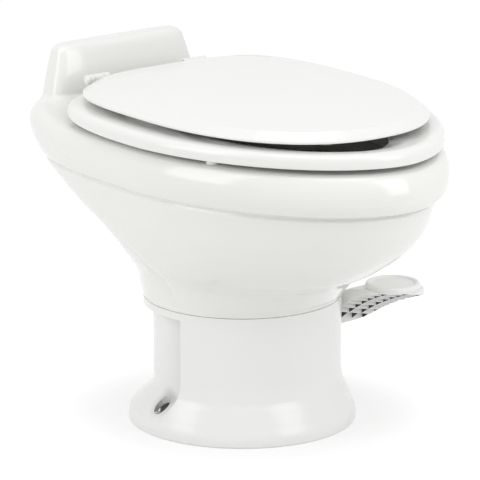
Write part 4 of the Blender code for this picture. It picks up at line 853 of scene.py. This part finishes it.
def creased(rows):
    """Outside rows with a shallow valley low on each side of the rear.

    The valley follows a line of turns over the height, and its depth across
    the line is d e^(-(gap/w)^2).
    """
    turn = np.linspace(0.0, 360.0, rows.shape[1], endpoint=False)
    turn = np.where(turn > 270.0, turn - 360.0, turn)
    side = np.where(turn < 90.0, 180.0 - turn, turn)[None, :]
    heights, turns, depths = np.asarray(CREASE_LINE).T
    gap = np.radians(side - np.interp(rows[..., 2], heights, turns)) * COLUMN_RADIUS
    pull = np.interp(rows[..., 2], heights, depths) * np.exp(-(gap / CREASE_WIDTH) ** 2)
    outward = (rows - np.array((0.0, FOOT_Y, 0.0))) * np.array((1.0, 1.0, 0.0))
    outward /= np.linalg.norm(outward, axis=2)[..., None]
    return rows - outward * pull[..., None]


def china_rows():
    """Rows round the china's wall: outside, rim, basin, flange, shell and skirt."""
    collar = OUTER_SHARES[0]
    bend = GLAZED_EDGE / 4
    lip = [outer_ring(collar, GLAZED_EDGE), outer_ring(collar, bend, SEAM_HEIGHT + bend),
           outer_ring(collar, 0.0, SEAM_HEIGHT + GLAZED_EDGE)]
    outside = creased(flow(lip + [outer_ring(shares) for shares in OUTER_SHARES[1:]], OUTSIDE_ROWS))
    basin = flow([basin_ring(shares) for shares in BASIN_SHARES], BASIN_ROWS)
    deck = straight([outside[-1], basin[0]], DECK_ROWS)[1:-1]
    flange_top = OUTLET_HEIGHT + OUTLET_FLANGE_THICKNESS
    flange = [round_ring(OUTLET_FLANGE_RADIUS, OUTLET_HEIGHT), round_ring(OUTLET_FLANGE_RADIUS, flange_top),
              round_ring(OUTLET_RADIUS + CHINA_WALL, flange_top)]
    shell = [basin_ring(shares, CHINA_WALL, CHINA_WALL / 2) for shares in BASIN_SHARES[-3:UNDERCUT_RING:-1]]
    ceiling = RIM_HEIGHT - DECK_THICKNESS
    roof = [basin_ring(BASIN_SHARES[UNDERCUT_RING], CHINA_WALL, height=ceiling),
            outer_ring(OUTER_SHARES[CEILING_RING], CHINA_WALL, ceiling)]
    skirt = [outer_ring(shares, CHINA_WALL) for shares in OUTER_SHARES[SKIRT_RING::-1]]
    inner = [np.asarray(flange), flow(shell, SHELL_ROWS), np.asarray(roof), flow(skirt, SKIRT_ROWS)]
    return np.concatenate([outside, deck, basin, *inner])


def rim_ratio(plan):
    """Superellipse radius of plan points, which is 1 on the china's edge."""
    widest = -WIDEST_SETBACK
    power = 2 + REAR_SQUARENESS
    across = np.abs(plan[:, 0]) / BOWL_HALF
    along = np.abs(plan[:, 1] - widest) / (REAR_REACH - widest)
    return (across ** power + along ** power) ** (1 / power)


def deck_height(plan):
    """Height of the china under a plan: flat deck that rolls off at its edge."""
    return RIM_HEIGHT + np.interp(rim_ratio(plan), EDGE_DROP_RATIOS, EDGE_DROPS)


def shroud_plan(shares, grow=0.0):
    """Plan of the raised cover at one level, grown outwards for its fillet."""
    _, width_share, front_share, back_share = shares
    front = SHROUD_BACK - front_share * SHROUD_DEPTH - grow
    back = SHROUD_BACK + back_share * SHROUD_DEPTH + grow * SHROUD_BACK_FILLET_SHARE
    middle = (front + back) / 2
    width = width_share * SHROUD_HALF + grow
    power = SHROUD_SQUARENESS
    return outline(width, -front, back, middle, power, power)


def shroud_rows():
    """Rows of the raised cover: a quarter-ellipse fillet, its wall and its crown.

    The fillet is drawn in, point by point, where it would reach past the deck.
    """
    base = SHROUD_SHARES[0]
    foot_rise = base[0] * SHROUD_HEIGHT
    wall_plan, wide_plan = shroud_plan(base), shroud_plan(base, SHROUD_FILLET)
    wall_ratio, wide_ratio = rim_ratio(wall_plan), rim_ratio(wide_plan)
    room = (SHROUD_EDGE_RATIO - wall_ratio) / np.maximum(wide_ratio - wall_ratio, TOUCH)
    reach = (wide_plan - wall_plan) * np.clip(room, 0.0, 1.0)[:, None]
    plan = wall_plan + reach
    rows = [level(plan, deck_height(plan) - SHROUD_FOOTING)]
    for turn in np.linspace(0.0, math.pi / 2, FILLET_ROWS):
        plan = wall_plan + reach * (1 - math.sin(turn))
        rise = foot_rise * (1 - math.cos(turn)) - TOUCH * math.cos(turn)
        sink = (deck_height(plan) - RIM_HEIGHT) * (1 - math.sin(turn))
        rows.append(level(plan, RIM_HEIGHT + sink + rise))
    wall = [level(shroud_plan(shares), RIM_HEIGHT + shares[0] * SHROUD_HEIGHT) for shares in SHROUD_SHARES]
    centre = wall[-1].mean(axis=0)
    crown = [centre + (wall[-1] - centre) * share for share in CROWN_SHARES]
    return np.concatenate([np.asarray(rows), flow(wall, SHROUD_ROWS)[1:], np.asarray(crown)])


def make_bowl():
    """China bowl with its raised cover and the pocket at the cover's back."""
    bowl = surface("china_bowl", china_rows(), "loop")
    cover = surface("raised_cover", shroud_rows())
    low = POCKET_CENTRE - POCKET_HALF
    high = POCKET_CENTRE + POCKET_HALF
    high.y = REAR_REACH + CUT_OVERRUN
    cut(cover, block("cover_pocket", low, high, POCKET_ROUND))
    gather(bowl, [cover])
    dress(bowl, "base", "china", ["bowl"], 50.0)


def make_seat():
    """Seat ring: its section runs round between the outer edge and the hole.

    The lip under its outer edge hangs lower towards the front, by a smooth step.
    """
    rings = []
    for across, up in SEAT_SECTION:
        width, front, rear = (
            outer + (inner - outer) * across for outer, inner in zip(SEAT_PLAN, SEAT_HOLE_PLAN))
        rear_power = SEAT_REAR_POWERS[0] + (SEAT_REAR_POWERS[1] - SEAT_REAR_POWERS[0]) * across
        front_power = 2 - FRONT_SHARPNESS * (1 - across)
        plan = outline(width, front, rear, -WIDEST_SETBACK, front_power, rear_power)
        hang = SEAT_LIP_DROP * max(0.0, 1 - across / SEAT_LIP_WIDTH) * max(0.0, 1 - up)
        ahead = eased((SEAT_LIP_REAR - plan[:, 1]) / SEAT_LIP_REAR)
        rings.append(level(plan, SEAT_BOTTOM + SEAT_THICKNESS * up - hang * ahead))
    seat = surface("seat_ring_moulding", flow(rings, SEAT_ROWS), "loop")
    dress(seat, "seat", "seat_plastic", ["seat_ring"], 50.0)


def lid_ring(inset, height):
    """Plan ring of the lid, drawn in by an inset."""
    width, front, rear = (size - inset for size in LID_PLAN)
    plan = outline(width, front, rear, -WIDEST_SETBACK, *LID_POWERS)
    return level(plan, LID_BOTTOM + height)


def make_hinge_caps():
    """Domed caps over the outer ends of the hinge pins."""
    for side, label in ((-1, "left"), (1, "right")):
        rows = along_x(flow(turned(HINGE_CAP_PROFILE, SMALL_TURN), HINGE_CAP_ROWS))
        rows[..., 0] = side * (HINGE_END + rows[..., 0])
        cap = surface("hinge_cap_" + label, moved(rows, 0.0, HINGE_Y, HINGE_HEIGHT))
        dress(cap, "base", "seat_plastic", [], 50.0)


def make_lid():
    """Lid: sunken panel below, round edge, bevelled border and crowned top.

    The crown rises as 1 - (1 - t)^p from the bevel, at t = 0, to the middle.
    """
    edge, panel, half = LID_EDGE, LID_PANEL_DEPTH, LID_PLAN[0]
    below = [lid_ring(half * NEAR_CENTRE, panel), lid_ring(half * LID_PANEL_MIDDLE, panel),
             lid_ring(LID_PANEL_INSET + panel, panel), lid_ring(LID_PANEL_INSET, 0.0),
             lid_ring(LID_EDGE_ROUND, 0.0)]
    side = [lid_ring(LID_EDGE_ROUND, 0.0), lid_ring(LID_EDGE_ROUND * 0.3, LID_EDGE_ROUND * 0.3),
            lid_ring(0.0, LID_EDGE_ROUND), lid_ring(0.0, edge * 0.72),
            lid_ring(LID_EDGE_ROUND * 0.35, edge * 0.92), lid_ring(LID_EDGE_ROUND, edge)]
    bevel = [lid_ring(LID_EDGE_ROUND, edge), lid_ring(LID_BEVEL, edge + LID_BEVEL_RISE)]
    top = []
    for share in np.linspace(0.0, NEAR_CENTRE, LID_TOP_ROWS)[1:]:
        inset = LID_BEVEL + (half - LID_BEVEL) * share
        top.append(lid_ring(inset, edge + LID_BEVEL_RISE + LID_CROWN * (1 - (1 - share) ** LID_CROWN_POWER)))
    rows = [straight(below, LID_PANEL_ROWS), flow(side, LID_EDGE_ROWS)[1:],
            straight(bevel, LID_BEVEL_ROWS)[1:], np.asarray(top)]
    lid = surface("lid_moulding", np.concatenate(rows))
    dress(lid, "cover", "seat_plastic", ["lid"], 30.0)


def flared(radius, flare, height):
    """Radius at a height of a column that flares out to the foot."""
    heights, shares = np.asarray(flare).T
    heights = np.append(heights * WEB_HEIGHT, COLUMN_HEIGHT)
    shares = np.append(shares, 0.0)[:, None]
    return radius + (FOOT_RADIUS - radius) * monotone(heights, shares, height)[:, 0]


def eased(value):
    """Smooth step from 0 to 1: t^2 (3 - 2t)."""
    t = np.clip(value, 0.0, 1.0)
    return t * t * (3 - 2 * t)


def recess_turn(height, radius):
    """Turn from the front at which the front shell ends, at each height.

    The edge is a line at a fixed depth with a quarter circle at its foot.
    """
    corner = np.clip(SHELL_CUT_BOTTOM + SHELL_CUT_RADIUS - height, 0.0, SHELL_CUT_RADIUS)
    sweep = SHELL_CUT_RADIUS - np.sqrt(SHELL_CUT_RADIUS ** 2 - corner ** 2)
    edge = SHELL_EDGE_Y + sweep
    return np.arccos(np.clip(-edge / radius, -1.0, 1.0))


def pedestal_skin():
    """Outer rows of the pedestal, with the side and back recess sunk into it.

    Columns follow the recess edge: an even share of points before it, a dense
    band across it and an even share behind it. Across the band the radius
    passes from the shell's to the core's by a smooth step.
    """
    ledge = COLUMN_HEIGHT - COLLAR_DEPTH
    stops = (COLUMN_HEIGHT, ledge + SHELL_EDGE_ROUND, ledge - SHELL_EDGE_ROUND, WEB_HEIGHT, SHELL_EDGE_ROUND)
    heights = np.concatenate([
        np.linspace(high, low, count, endpoint=False)
        for high, low, count in zip(stops[:-1], stops[1:], PEDESTAL_ROWS)])
    shell = flared(COLUMN_RADIUS, SHELL_FLARE, heights)
    core = np.minimum(flared(CORE_RADIUS, CORE_FLARE, heights), shell)
    edge_turn = recess_turn(heights, shell)[:, None]
    band = SHELL_EDGE_ROUND / COLUMN_RADIUS
    half_count = bpy.context.scene.toilet_shape.around_pedestal // 2
    front = np.linspace(0.0, 1.0, half_count, endpoint=False)[None, :] * (edge_turn - band)
    across = edge_turn + band * np.linspace(-1.0, 1.0, EDGE_COLUMNS)[None, :]
    back_share = np.linspace(0.0, 1.0, half_count + 1)[1:][None, :]
    back = edge_turn + band + back_share * (math.pi - edge_turn - band)
    right = np.concatenate([front, across, back], axis=1)
    turn = np.concatenate([right, -right[:, -2:0:-1]], axis=1)
    sunk = eased((np.abs(turn) - edge_turn + band) / (2 * band))
    sunk = sunk * eased((ledge + SHELL_EDGE_ROUND - heights) / (2 * SHELL_EDGE_ROUND))[:, None]
    radius = shell[:, None] + (core - shell)[:, None] * sunk
    rows = np.stack([radius * np.sin(turn), -radius * np.cos(turn),
                     np.broadcast_to(heights[:, None], radius.shape)], axis=2)
    return moved(rows), turn[-1]


def pedestal_inside(turn):
    """Inner rows of the pedestal, from under the foot and back to the collar."""
    inner = CORE_RADIUS - FOOT_WALL
    web_top = WEB_HEIGHT + WEB_THICKNESS
    pipe_outer = PIPE_RADIUS + PIPE_WALL
    throat = OUTLET_RADIUS + CHINA_WALL / 2
    chest = FLANGE_BOTTOM - PIPE_WALL
    mid_flange = (FLANGE_TOP + FLANGE_BOTTOM) / 2
    ledge = COLUMN_HEIGHT - COLLAR_DEPTH
    profile = np.array((
        (FOOT_RADIUS - SHELL_EDGE_ROUND / 2, SHELL_EDGE_ROUND * 0.8),
        (FOOT_RADIUS - SHELL_EDGE_ROUND * 2, 0.0), (FOOT_RADIUS - FOOT_WALL, 0.0),
        (FOOT_RADIUS - FOOT_WALL * 3, WEB_HEIGHT / 3), (inner, WEB_HEIGHT * 2 / 3), (inner, WEB_HEIGHT),
        (CHAMBER_OUTER, WEB_HEIGHT), (pipe_outer, WEB_HEIGHT * 5 / 8), (pipe_outer, WEB_THICKNESS / 2),
        (PIPE_RADIUS, WEB_THICKNESS / 2), (PIPE_RADIUS, WEB_HEIGHT * 2 / 3), (CHAMBER_RADIUS, web_top),
        (CHAMBER_RADIUS, FLANGE_BOTTOM), (throat, mid_flange), (throat, FLANGE_TOP),
        (OUTLET_FLANGE_RADIUS, FLANGE_TOP), (OUTLET_FLANGE_RADIUS, FLANGE_BOTTOM), (CHAMBER_OUTER, chest),
        (CHAMBER_OUTER, web_top), (inner, web_top), (inner, ledge), (CORE_RADIUS, ledge + COLLAR_DEPTH / 2),
        (CORE_RADIUS, COLUMN_HEIGHT)))
    circle = np.stack([np.sin(turn), -np.cos(turn)], axis=1)
    flat = profile[:, None, :1] * circle[None]
    height = np.broadcast_to(profile[:, None, 1:], (len(profile), len(turn), 1))
    return moved(np.concatenate([flat, height], axis=2))


def floor_scoop(side):
    """Cutter for the round pocket over one floor bolt, tangent to the column."""
    profile = ((SCOOP_RADIUS, FOOT_PLATE), (SCOOP_RADIUS, WEB_HEIGHT + CUT_OVERRUN))
    return surface("floor_scoop", moved(turned(profile, TURN), side * SCOOP_X, SCOOP_Y))


def scoop_lining(side):
    """Cup that lines one floor pocket inside the hollow foot."""
    low, high = FOOT_PLATE - WEB_THICKNESS, LINING_TOP
    outer = SCOOP_RADIUS + FOOT_SKIN
    profile = ((SCOOP_RADIUS, FOOT_PLATE), (SCOOP_RADIUS, high), (outer, high), (outer, low),
               (AXIS_RADIUS, low), (AXIS_RADIUS, FOOT_PLATE))
    return surface("scoop_lining", moved(turned(profile, TURN), side * SCOOP_X, SCOOP_Y), "loop")


def floor_boss(side):
    """Ring of the foot plate round one floor bolt."""
    low, high = WEB_THICKNESS / 4, FOOT_PLATE - TOUCH
    profile = ((BOLT_HOLE_RADIUS, low), (BOSS_RADIUS, low), (BOSS_RADIUS, high), (BOLT_HOLE_RADIUS, high))
    return surface("floor_boss", moved(turned(profile, SMALL_TURN), side * BOLT_X, BOLT_Y), "loop")


def hole_along(radius, start, end, place, lay):
    """Round cutter between two distances, laid along X or Y."""
    rows = lay(turned(((radius, start), (radius, end)), SMALL_TURN))
    return surface("round_hole", moved(rows, *place))


def make_pedestal():
    """Moulded pedestal with its recess, pockets, ribs, chamber and pipe."""
    skin, turn = pedestal_skin()
    pedestal = surface("pedestal_moulding", np.concatenate([skin, pedestal_inside(turn)]), "loop")
    shaft = (0.0, 0.0, SHAFT_HEIGHT)
    inlet = (CAM_X, 0.0, SHAFT_HEIGHT)
    reach = CHAMBER_OUTER + CUT_OVERRUN / 2
    holes = ((BUSHING_HOLE_RADIUS, CHAMBER_OUTER + CUT_OVERRUN, CORE_RADIUS + CUT_OVERRUN, shaft, along_x),
             (SHAFT_HOLE_RADIUS, -reach, reach, shaft, along_x),
             (INLET_HOLE_RADIUS, INLET_START_Y - CUT_OVERRUN, INLET_END_Y + CUT_OVERRUN, inlet, along_y))
    cutters = gather(floor_scoop(-1), [floor_scoop(1), *(hole_along(*hole) for hole in holes)])
    cut(pedestal, cutters)
    extras = [floor_boss(-1), floor_boss(1), scoop_lining(-1), scoop_lining(1)]
    extras.append(block("valve_shelf", SHELF_LOW, SHELF_HIGH))
    profile = ((INLET_HOLE_RADIUS, INLET_START_Y), (INLET_BOSS_RADIUS, INLET_START_Y),
               (INLET_BOSS_RADIUS, INLET_END_Y), (INLET_HOLE_RADIUS, INLET_END_Y))
    extras.append(surface("inlet_boss", moved(along_y(turned(profile, SMALL_TURN)), *inlet), "loop"))
    inner = CHAMBER_OUTER - PIPE_WALL / 2
    outer = CORE_RADIUS - FOOT_WALL / 2
    centre = Matrix.Translation((0, FOOT_Y, 0))
    for i in range(RIB_COUNT):
        rib = block("web_rib", (inner, -RIB_HALF, FOOT_PLATE), (outer, RIB_HALF, WEB_HEIGHT))
        turn_rib = Matrix.Rotation(math.tau * (i + 0.5) / RIB_COUNT, 4, "Z")
        rib.data.transform(centre @ turn_rib @ centre.inverted())
        extras.append(rib)
    gather(pedestal, extras)
    dress(pedestal, "base", "pedestal_plastic", ["pedestal"], 42.0)


def station_at(place):
    """Pedal station between two rows of the table."""
    table = np.asarray(PEDAL_STATIONS)[::-1]
    return [float(np.interp(place, table[:, 0], column)) for column in table.T]


def pedal_ring(station):
    """Superellipse section of the pedal at one station.

    The underside slopes: it lies lower by the tilt times the distance out from
    the middle, and the slope fades to nothing at the top.
    """
    y, middle, half, top, bottom = station
    tall = (top - bottom) / 2
    section = outline(half, tall, tall, 0.0, PEDAL_SQUARENESS, PEDAL_SQUARENESS, LARGE_TURN)
    place = np.full(len(section), y + FOOT_Y)
    sunk = PEDAL_TILT * section[:, 0] * (1 - section[:, 1] / tall) / 2
    return np.column_stack([section[:, 0] + middle, place, section[:, 1] + (top + bottom) / 2 - sunk])


def rib_cells():
    """Cutter for the open cells under the pedal, with the faces across X marked for the painted shade."""
    cells = []
    places = np.linspace(CELLS_START, CELLS_END, CELL_ROWS + 1) * -PEDAL_LENGTH
    for near, far in zip(places[:-1], places[1:]):
        _, near_middle, near_half, top, _ = station_at(near)
        _, far_middle, far_half, _, _ = station_at(far)
        low_x = max(near_middle - near_half, far_middle - far_half)
        high_x = min(near_middle + near_half, far_middle + far_half)
        pitch = (high_x - low_x - PEDAL_RIB) / CELL_COLUMNS
        for column in range(CELL_COLUMNS):
            start = low_x + PEDAL_RIB + column * pitch
            low = (start, far + PEDAL_RIB, SHAFT_HEIGHT - PEDAL_RISE)
            cells.append(block("rib_cell", low, (start + pitch - PEDAL_RIB, near, top - PEDAL_SKIN)))
    cutter = gather(cells[0], cells[1:])
    # Faces across X take the second material, the painted shade
    for side in cutter.data.polygons:
        side.material_index = int(abs(side.normal.x) > 0.5)
    return cutter


def make_pedal():
    """Foot pedal: lofted arm and tread, open cells below, hub and ringed pad."""
    rings = [pedal_ring(station) for station in PEDAL_STATIONS]
    tip = rings[-1].mean(axis=0)
    nose = [tip + (rings[-1] - tip) * share - np.array((0.0, reach, 0.0)) for share, reach in PEDAL_NOSE]
    pedal = surface("foot_pedal", np.concatenate([flow(rings, PEDAL_ROWS), np.asarray(nose)]))
    cutter = rib_cells()
    # The pedal's plastic, then the painted shade for the side walls of its cells
    for item in (pedal, cutter):
        item.data.materials.append(Kit.materials["pedal_plastic"])
        item.data.materials.append(Kit.materials["pedal_cells"])
    cut(pedal, cutter)
    round_edge = SHELL_EDGE_ROUND
    hub = ((AXIS_RADIUS, HUB_START), (HUB_RADIUS - round_edge, HUB_START),
           (HUB_RADIUS, HUB_START + round_edge), (HUB_RADIUS, HUB_END - round_edge),
           (HUB_RADIUS - round_edge, HUB_END), (AXIS_RADIUS, HUB_END))
    hub_rows = moved(along_x(turned(hub, TURN)), 0.0, 0.0, SHAFT_HEIGHT)
    pad = turned(PAD_PROFILE, LARGE_TURN)
    pad = np.concatenate([flow(pad[:-2], PAD_ROWS), pad[-2:]])
    pad_rows = moved(pad, PEDAL_REACH_OUT, PAD_Y, station_at(PAD_Y)[3])
    gather(pedal, [surface("pedal_hub", hub_rows), surface("pedal_pad", pad_rows)])
    dress(pedal, "pedal", "pedal_plastic", ["flush_pedal"], 32.0)


def tube(name, route, radius, around):
    """Capped tube: circles square to a route, laid out from the X direction.

    At each point the first radius is X less its part along the route, made a
    unit long, and the second is the route's direction crossed with the first.
    """
    route = np.asarray(route, dtype=float)
    ahead = np.gradient(route, axis=0)
    ahead /= np.linalg.norm(ahead, axis=1)[:, None]
    first = np.array((1.0, 0.0, 0.0)) - ahead * ahead[:, :1]
    first /= np.linalg.norm(first, axis=1)[:, None]
    second = np.cross(ahead, first)
    turn = np.linspace(0.0, math.tau, around, endpoint=False)
    circle = first[:, None] * np.cos(turn)[None, :, None] + second[:, None] * np.sin(turn)[None, :, None]
    return surface(name, moved(route[:, None] + circle * radius))


def smooth_route(points, steps):
    """Catmull-Rom curve through points, steps to a span."""
    points = np.asarray(points, dtype=float)
    ends = np.vstack([points[0] * 2 - points[1], points, points[-1] * 2 - points[-2]])
    a, b, c, d = (ends[i:len(ends) - 3 + i, None] for i in range(4))
    t = np.linspace(0.0, 1.0, steps, endpoint=False)[None, :, None]
    squared = (a * 2 - b * 5 + c * 4 - d) * t ** 2
    cubed = (b * 3 - a - c * 3 + d) * t ** 3
    curve = (b * 2 + (c - a) * t + squared + cubed) / 2
    return np.vstack([curve.reshape(-1, 3), points[-1:]])


def make_hoses():
    """Supply hose, rinse hose and the return spring, a helix of wire."""
    for node, route in (("supply_hose", SUPPLY_ROUTE), ("rinse_hose", RINSE_ROUTE)):
        hose = tube(node + "_tubing", smooth_route(route, HOSE_STEPS), HOSE_RADIUS, HOSE_SIDES)
        dress(hose, "base", "clear_hose", [node])
    turn = np.linspace(0.0, math.tau * SPRING_TURNS, SPRING_TURNS * SPRING_STEPS + 1)
    along = np.linspace(SPRING_START, SPRING_END, len(turn))
    across, up = SPRING_RADIUS * np.cos(turn), SPRING_RADIUS * np.sin(turn)
    coil = np.stack([along, across, SHAFT_HEIGHT + up], axis=1)
    spring = tube("return_spring_coil", coil, SPRING_WIRE, SPRING_SIDES)
    dress(spring, "base", "steel", ["return_spring"])


def make_flush_ball():
    """Flush ball: a spherical strip on two hubs, as rows from pole to pole."""
    pole = np.linspace(BALL_POLE_ANGLE, math.pi - BALL_POLE_ANGLE, BALL_ROWS)[:, None]
    sweep = np.linspace(-BALL_HALF_ANGLE, BALL_HALF_ANGLE, BALL_COLUMNS)
    turn = np.concatenate([sweep, sweep[::-1]])[None, :]
    radius = np.repeat([BALL_RADIUS, BALL_RADIUS - BALL_WALL], BALL_COLUMNS)[None, :]
    reach = radius * np.sin(pole)
    rows = np.stack([radius * np.cos(pole), reach * np.sin(turn), reach * np.cos(turn)], axis=2)
    ball = surface("flush_ball_blade", moved(rows, 0.0, 0.0, SHAFT_HEIGHT))
    hubs = []
    for side in (-1, 1):
        inner = side * (BALL_RADIUS - BALL_WALL * 1.5) * math.cos(BALL_POLE_ANGLE)
        outer = side * (BALL_RADIUS + BALL_HUB_STAND)
        rows = along_x(turned(((BALL_HUB_RADIUS, inner), (BALL_HUB_RADIUS, outer)), SMALL_TURN))
        hubs.append(surface("ball_hub", moved(rows, 0.0, 0.0, SHAFT_HEIGHT)))
    gather(ball, hubs)
    dress(ball, "pedal", "valve_plastic", ["flush_ball"])


class TOILET_OT_finishes(bpy.types.Operator):
    """Make the materials and give them to the carried-over nodes"""

    bl_idname = "toilet.finishes"
    bl_label = "Finishes"

    def execute(self, context):
        Kit.materials = finishes()
        for entry in frame["record"]["subparts"]:
            mesh = frame["nodes"][entry["node"]].data
            mesh.materials.clear()
            mesh.materials.append(Kit.materials[entry["material_slot"]])
        return {"FINISHED"}


class TOILET_OT_bowl(bpy.types.Operator):
    """Make the china bowl and its raised cover"""

    bl_idname = "toilet.bowl"
    bl_label = "Bowl"

    def execute(self, context):
        make_bowl()
        return {"FINISHED"}


class TOILET_OT_pedestal(bpy.types.Operator):
    """Make the moulded pedestal"""

    bl_idname = "toilet.pedestal"
    bl_label = "Pedestal"

    def execute(self, context):
        make_pedestal()
        return {"FINISHED"}


class TOILET_OT_seat(bpy.types.Operator):
    """Make the seat ring, the lid and the caps of its hinges"""

    bl_idname = "toilet.seat"
    bl_label = "Seat and Lid"

    def execute(self, context):
        make_seat()
        make_lid()
        make_hinge_caps()
        return {"FINISHED"}


class TOILET_OT_pedal(bpy.types.Operator):
    """Make the foot pedal, the flush ball, the return spring and the hoses"""

    bl_idname = "toilet.pedal"
    bl_label = "Pedal, Ball and Hoses"

    def execute(self, context):
        make_pedal()
        make_flush_ball()
        make_hoses()
        return {"FINISHED"}


class TOILET_OT_small_pieces(bpy.types.Operator):
    """Round the edges of hinges, bumpers, clamp, valve and fasteners"""

    bl_idname = "toilet.small_pieces"
    bl_label = "Small Pieces"

    def execute(self, context):
        for entry in frame["record"]["subparts"]:
            node = entry["node"]
            if not frame["nodes"][node].hide_render:
                softened(node, entry["material_slot"])
        return {"FINISHED"}


def aim(item, place, target):
    """Put an object at a place with its -Z towards a target."""
    item.location = place
    item.rotation_mode = "QUATERNION"
    item.rotation_quaternion = (target - place).to_track_quat("-Z", "Y")


def direction(azimuth, elevation):
    """Unit vector towards an azimuth and an elevation, with 0 at the front."""
    flat = math.cos(elevation)
    return Vector((math.sin(azimuth) * flat, -math.cos(azimuth) * flat, math.sin(elevation)))


def softbox(name, azimuth, elevation, distance, size, power):
    """Rectangular lamp aimed at the middle of the object."""
    lamp = bpy.data.lights.new(name, "AREA")
    lamp.shape = "RECTANGLE"
    lamp.size, lamp.size_y = size
    lamp.energy = power
    item = bpy.data.objects.new(name, lamp)
    bpy.context.scene.collection.objects.link(item)
    towards = direction(math.radians(azimuth), math.radians(elevation))
    aim(item, LAMP_TARGET + towards * distance, LAMP_TARGET)


def seen_directly(tree):
    """Share of rays that come from the camera, a reflection or a clear body."""
    path = tree.nodes.new("ShaderNodeLightPath")
    total = path.outputs["Is Camera Ray"]
    for name in ("Is Glossy Ray", "Is Transmission Ray"):
        larger = tree.nodes.new("ShaderNodeMath")
        larger.operation = "MAXIMUM"
        tree.links.new(total, larger.inputs[0])
        tree.links.new(path.outputs[name], larger.inputs[1])
        total = larger.outputs[0]
    return total


def floor_finish():
    """White floor that keeps a faint shadow, with a painted shadow round the foot that darkens its glow."""
    finish = Finish("studio_floor", 1.0)
    tree = finish.tree
    shadow = finish.node("ShaderNodeBsdfDiffuse", None, {"Color": (*[FLOOR_SHADOW] * 3, 1.0)})
    x, y, _ = finish.coordinates()
    deep = y - FOOT_Y
    # Painted shadow: the glow is darker near the foot, fading out at its reach
    away = finish.limited(x * x + deep * deep, FOOT_RADIUS ** 2, FLOOR_PAINTED_SHADOW_REACH ** 2)
    near = finish.mix(away, FLOOR_PAINTED_SHADOW, (1.0, 1.0, 1.0))
    glow = finish.node("ShaderNodeEmission", None, {"Color": near, "Strength": FLOOR_GLOW})
    shown = finish.node("ShaderNodeAddShader", None, {0: shadow, 1: glow})
    bounce = finish.node("ShaderNodeBsdfDiffuse", None, {"Color": (*[FLOOR_BOUNCE] * 3, 1.0)})
    seen = Wire(finish, seen_directly(tree))
    mixed = finish.node("ShaderNodeMixShader", None, {0: seen, 1: bounce, 2: shown})
    tree.links.new(mixed.socket, tree.nodes["Material Output"].inputs["Surface"])
    tree.nodes.remove(finish.shader)
    return finish.material


def make_world(level_value):
    """Even world light that the camera sees as white."""
    world = bpy.data.worlds.new("studio_world")
    bpy.context.scene.world = world
    world.use_nodes = True
    tree = world.node_tree
    light = tree.nodes["Background"]
    white = tree.nodes.new("ShaderNodeBackground")
    for background, strength in ((light, level_value), (white, 1.0)):
        background.inputs["Color"].default_value = (1.0, 1.0, 1.0, 1.0)
        background.inputs["Strength"].default_value = strength
    mixed = tree.nodes.new("ShaderNodeMixShader")
    tree.links.new(seen_directly(tree), mixed.inputs[0])
    tree.links.new(light.outputs[0], mixed.inputs[1])
    tree.links.new(white.outputs[0], mixed.inputs[2])
    tree.links.new(mixed.outputs[0], tree.nodes["World Output"].inputs["Surface"])


class TOILET_OT_stage(bpy.types.Operator):
    """Make the floor, the world, the softboxes and the camera"""

    bl_idname = "toilet.stage"
    bl_label = "Stage"

    def execute(self, context):
        studio = context.scene.toilet_studio
        low = (-FLOOR_HALF, -FLOOR_HALF, -FLOOR_DEPTH)
        floor = block("studio_floor", low, (FLOOR_HALF, FLOOR_HALF, 0.0))
        floor.data.materials.append(floor_finish())
        make_world(studio.world_level)
        for name, azimuth, elevation, distance, size, share in SOFTBOXES:
            softbox(name, azimuth, elevation, distance, size, studio.box_power * share)
        camera = bpy.data.objects.new("camera", bpy.data.cameras.new("camera"))
        context.scene.collection.objects.link(camera)
        camera.data.lens = studio.lens
        camera.data.clip_end = 60.0
        towards = direction(studio.azimuth, studio.elevation)
        aim(camera, CAMERA_TARGET + towards * studio.distance, CAMERA_TARGET)
        context.scene.camera = camera
        context.scene.view_settings.view_transform = "Standard"
        return {"FINISHED"}


class TOILET_PT_panel(bpy.types.Panel):
    """Sidebar panel with the settings and the steps"""

    bl_idname = "TOILET_PT_panel"
    bl_label = "RV Toilet"
    bl_space_type = "VIEW_3D"
    bl_region_type = "UI"
    bl_category = "Toilet"

    def draw(self, context):
        layout = self.layout
        for group in (context.scene.toilet_shape, context.scene.toilet_colours, context.scene.toilet_studio):
            for name in group.bl_rna.properties.keys():
                if name not in {"rna_type", "name"}:
                    layout.prop(group, name)
        for step in STEPS:
            layout.operator(step.bl_idname)


GROUPS = (ToiletShape, ToiletColours, ToiletStudio)
STEPS = (TOILET_OT_finishes, TOILET_OT_bowl, TOILET_OT_pedestal, TOILET_OT_seat, TOILET_OT_pedal,
         TOILET_OT_small_pieces, TOILET_OT_stage)


def register():
    """Register the classes and hang the settings on the scene."""
    for kind in GROUPS + STEPS + (TOILET_PT_panel,):
        bpy.utils.register_class(kind)
    bpy.types.Scene.toilet_shape = PointerProperty(type=ToiletShape)
    bpy.types.Scene.toilet_colours = PointerProperty(type=ToiletColours)
    bpy.types.Scene.toilet_studio = PointerProperty(type=ToiletStudio)


def unregister():
    """Take the settings and the classes away again."""
    del bpy.types.Scene.toilet_studio
    del bpy.types.Scene.toilet_colours
    del bpy.types.Scene.toilet_shape
    for kind in reversed(GROUPS + STEPS + (TOILET_PT_panel,)):
        bpy.utils.unregister_class(kind)


def main():
    """Dress the toilet."""
    register()
    bpy.ops.toilet.finishes()
    bpy.ops.toilet.bowl()
    bpy.ops.toilet.pedestal()
    bpy.ops.toilet.seat()
    bpy.ops.toilet.pedal()
    bpy.ops.toilet.small_pieces()
    bpy.ops.toilet.stage()


if __name__ == "__main__":
    main()
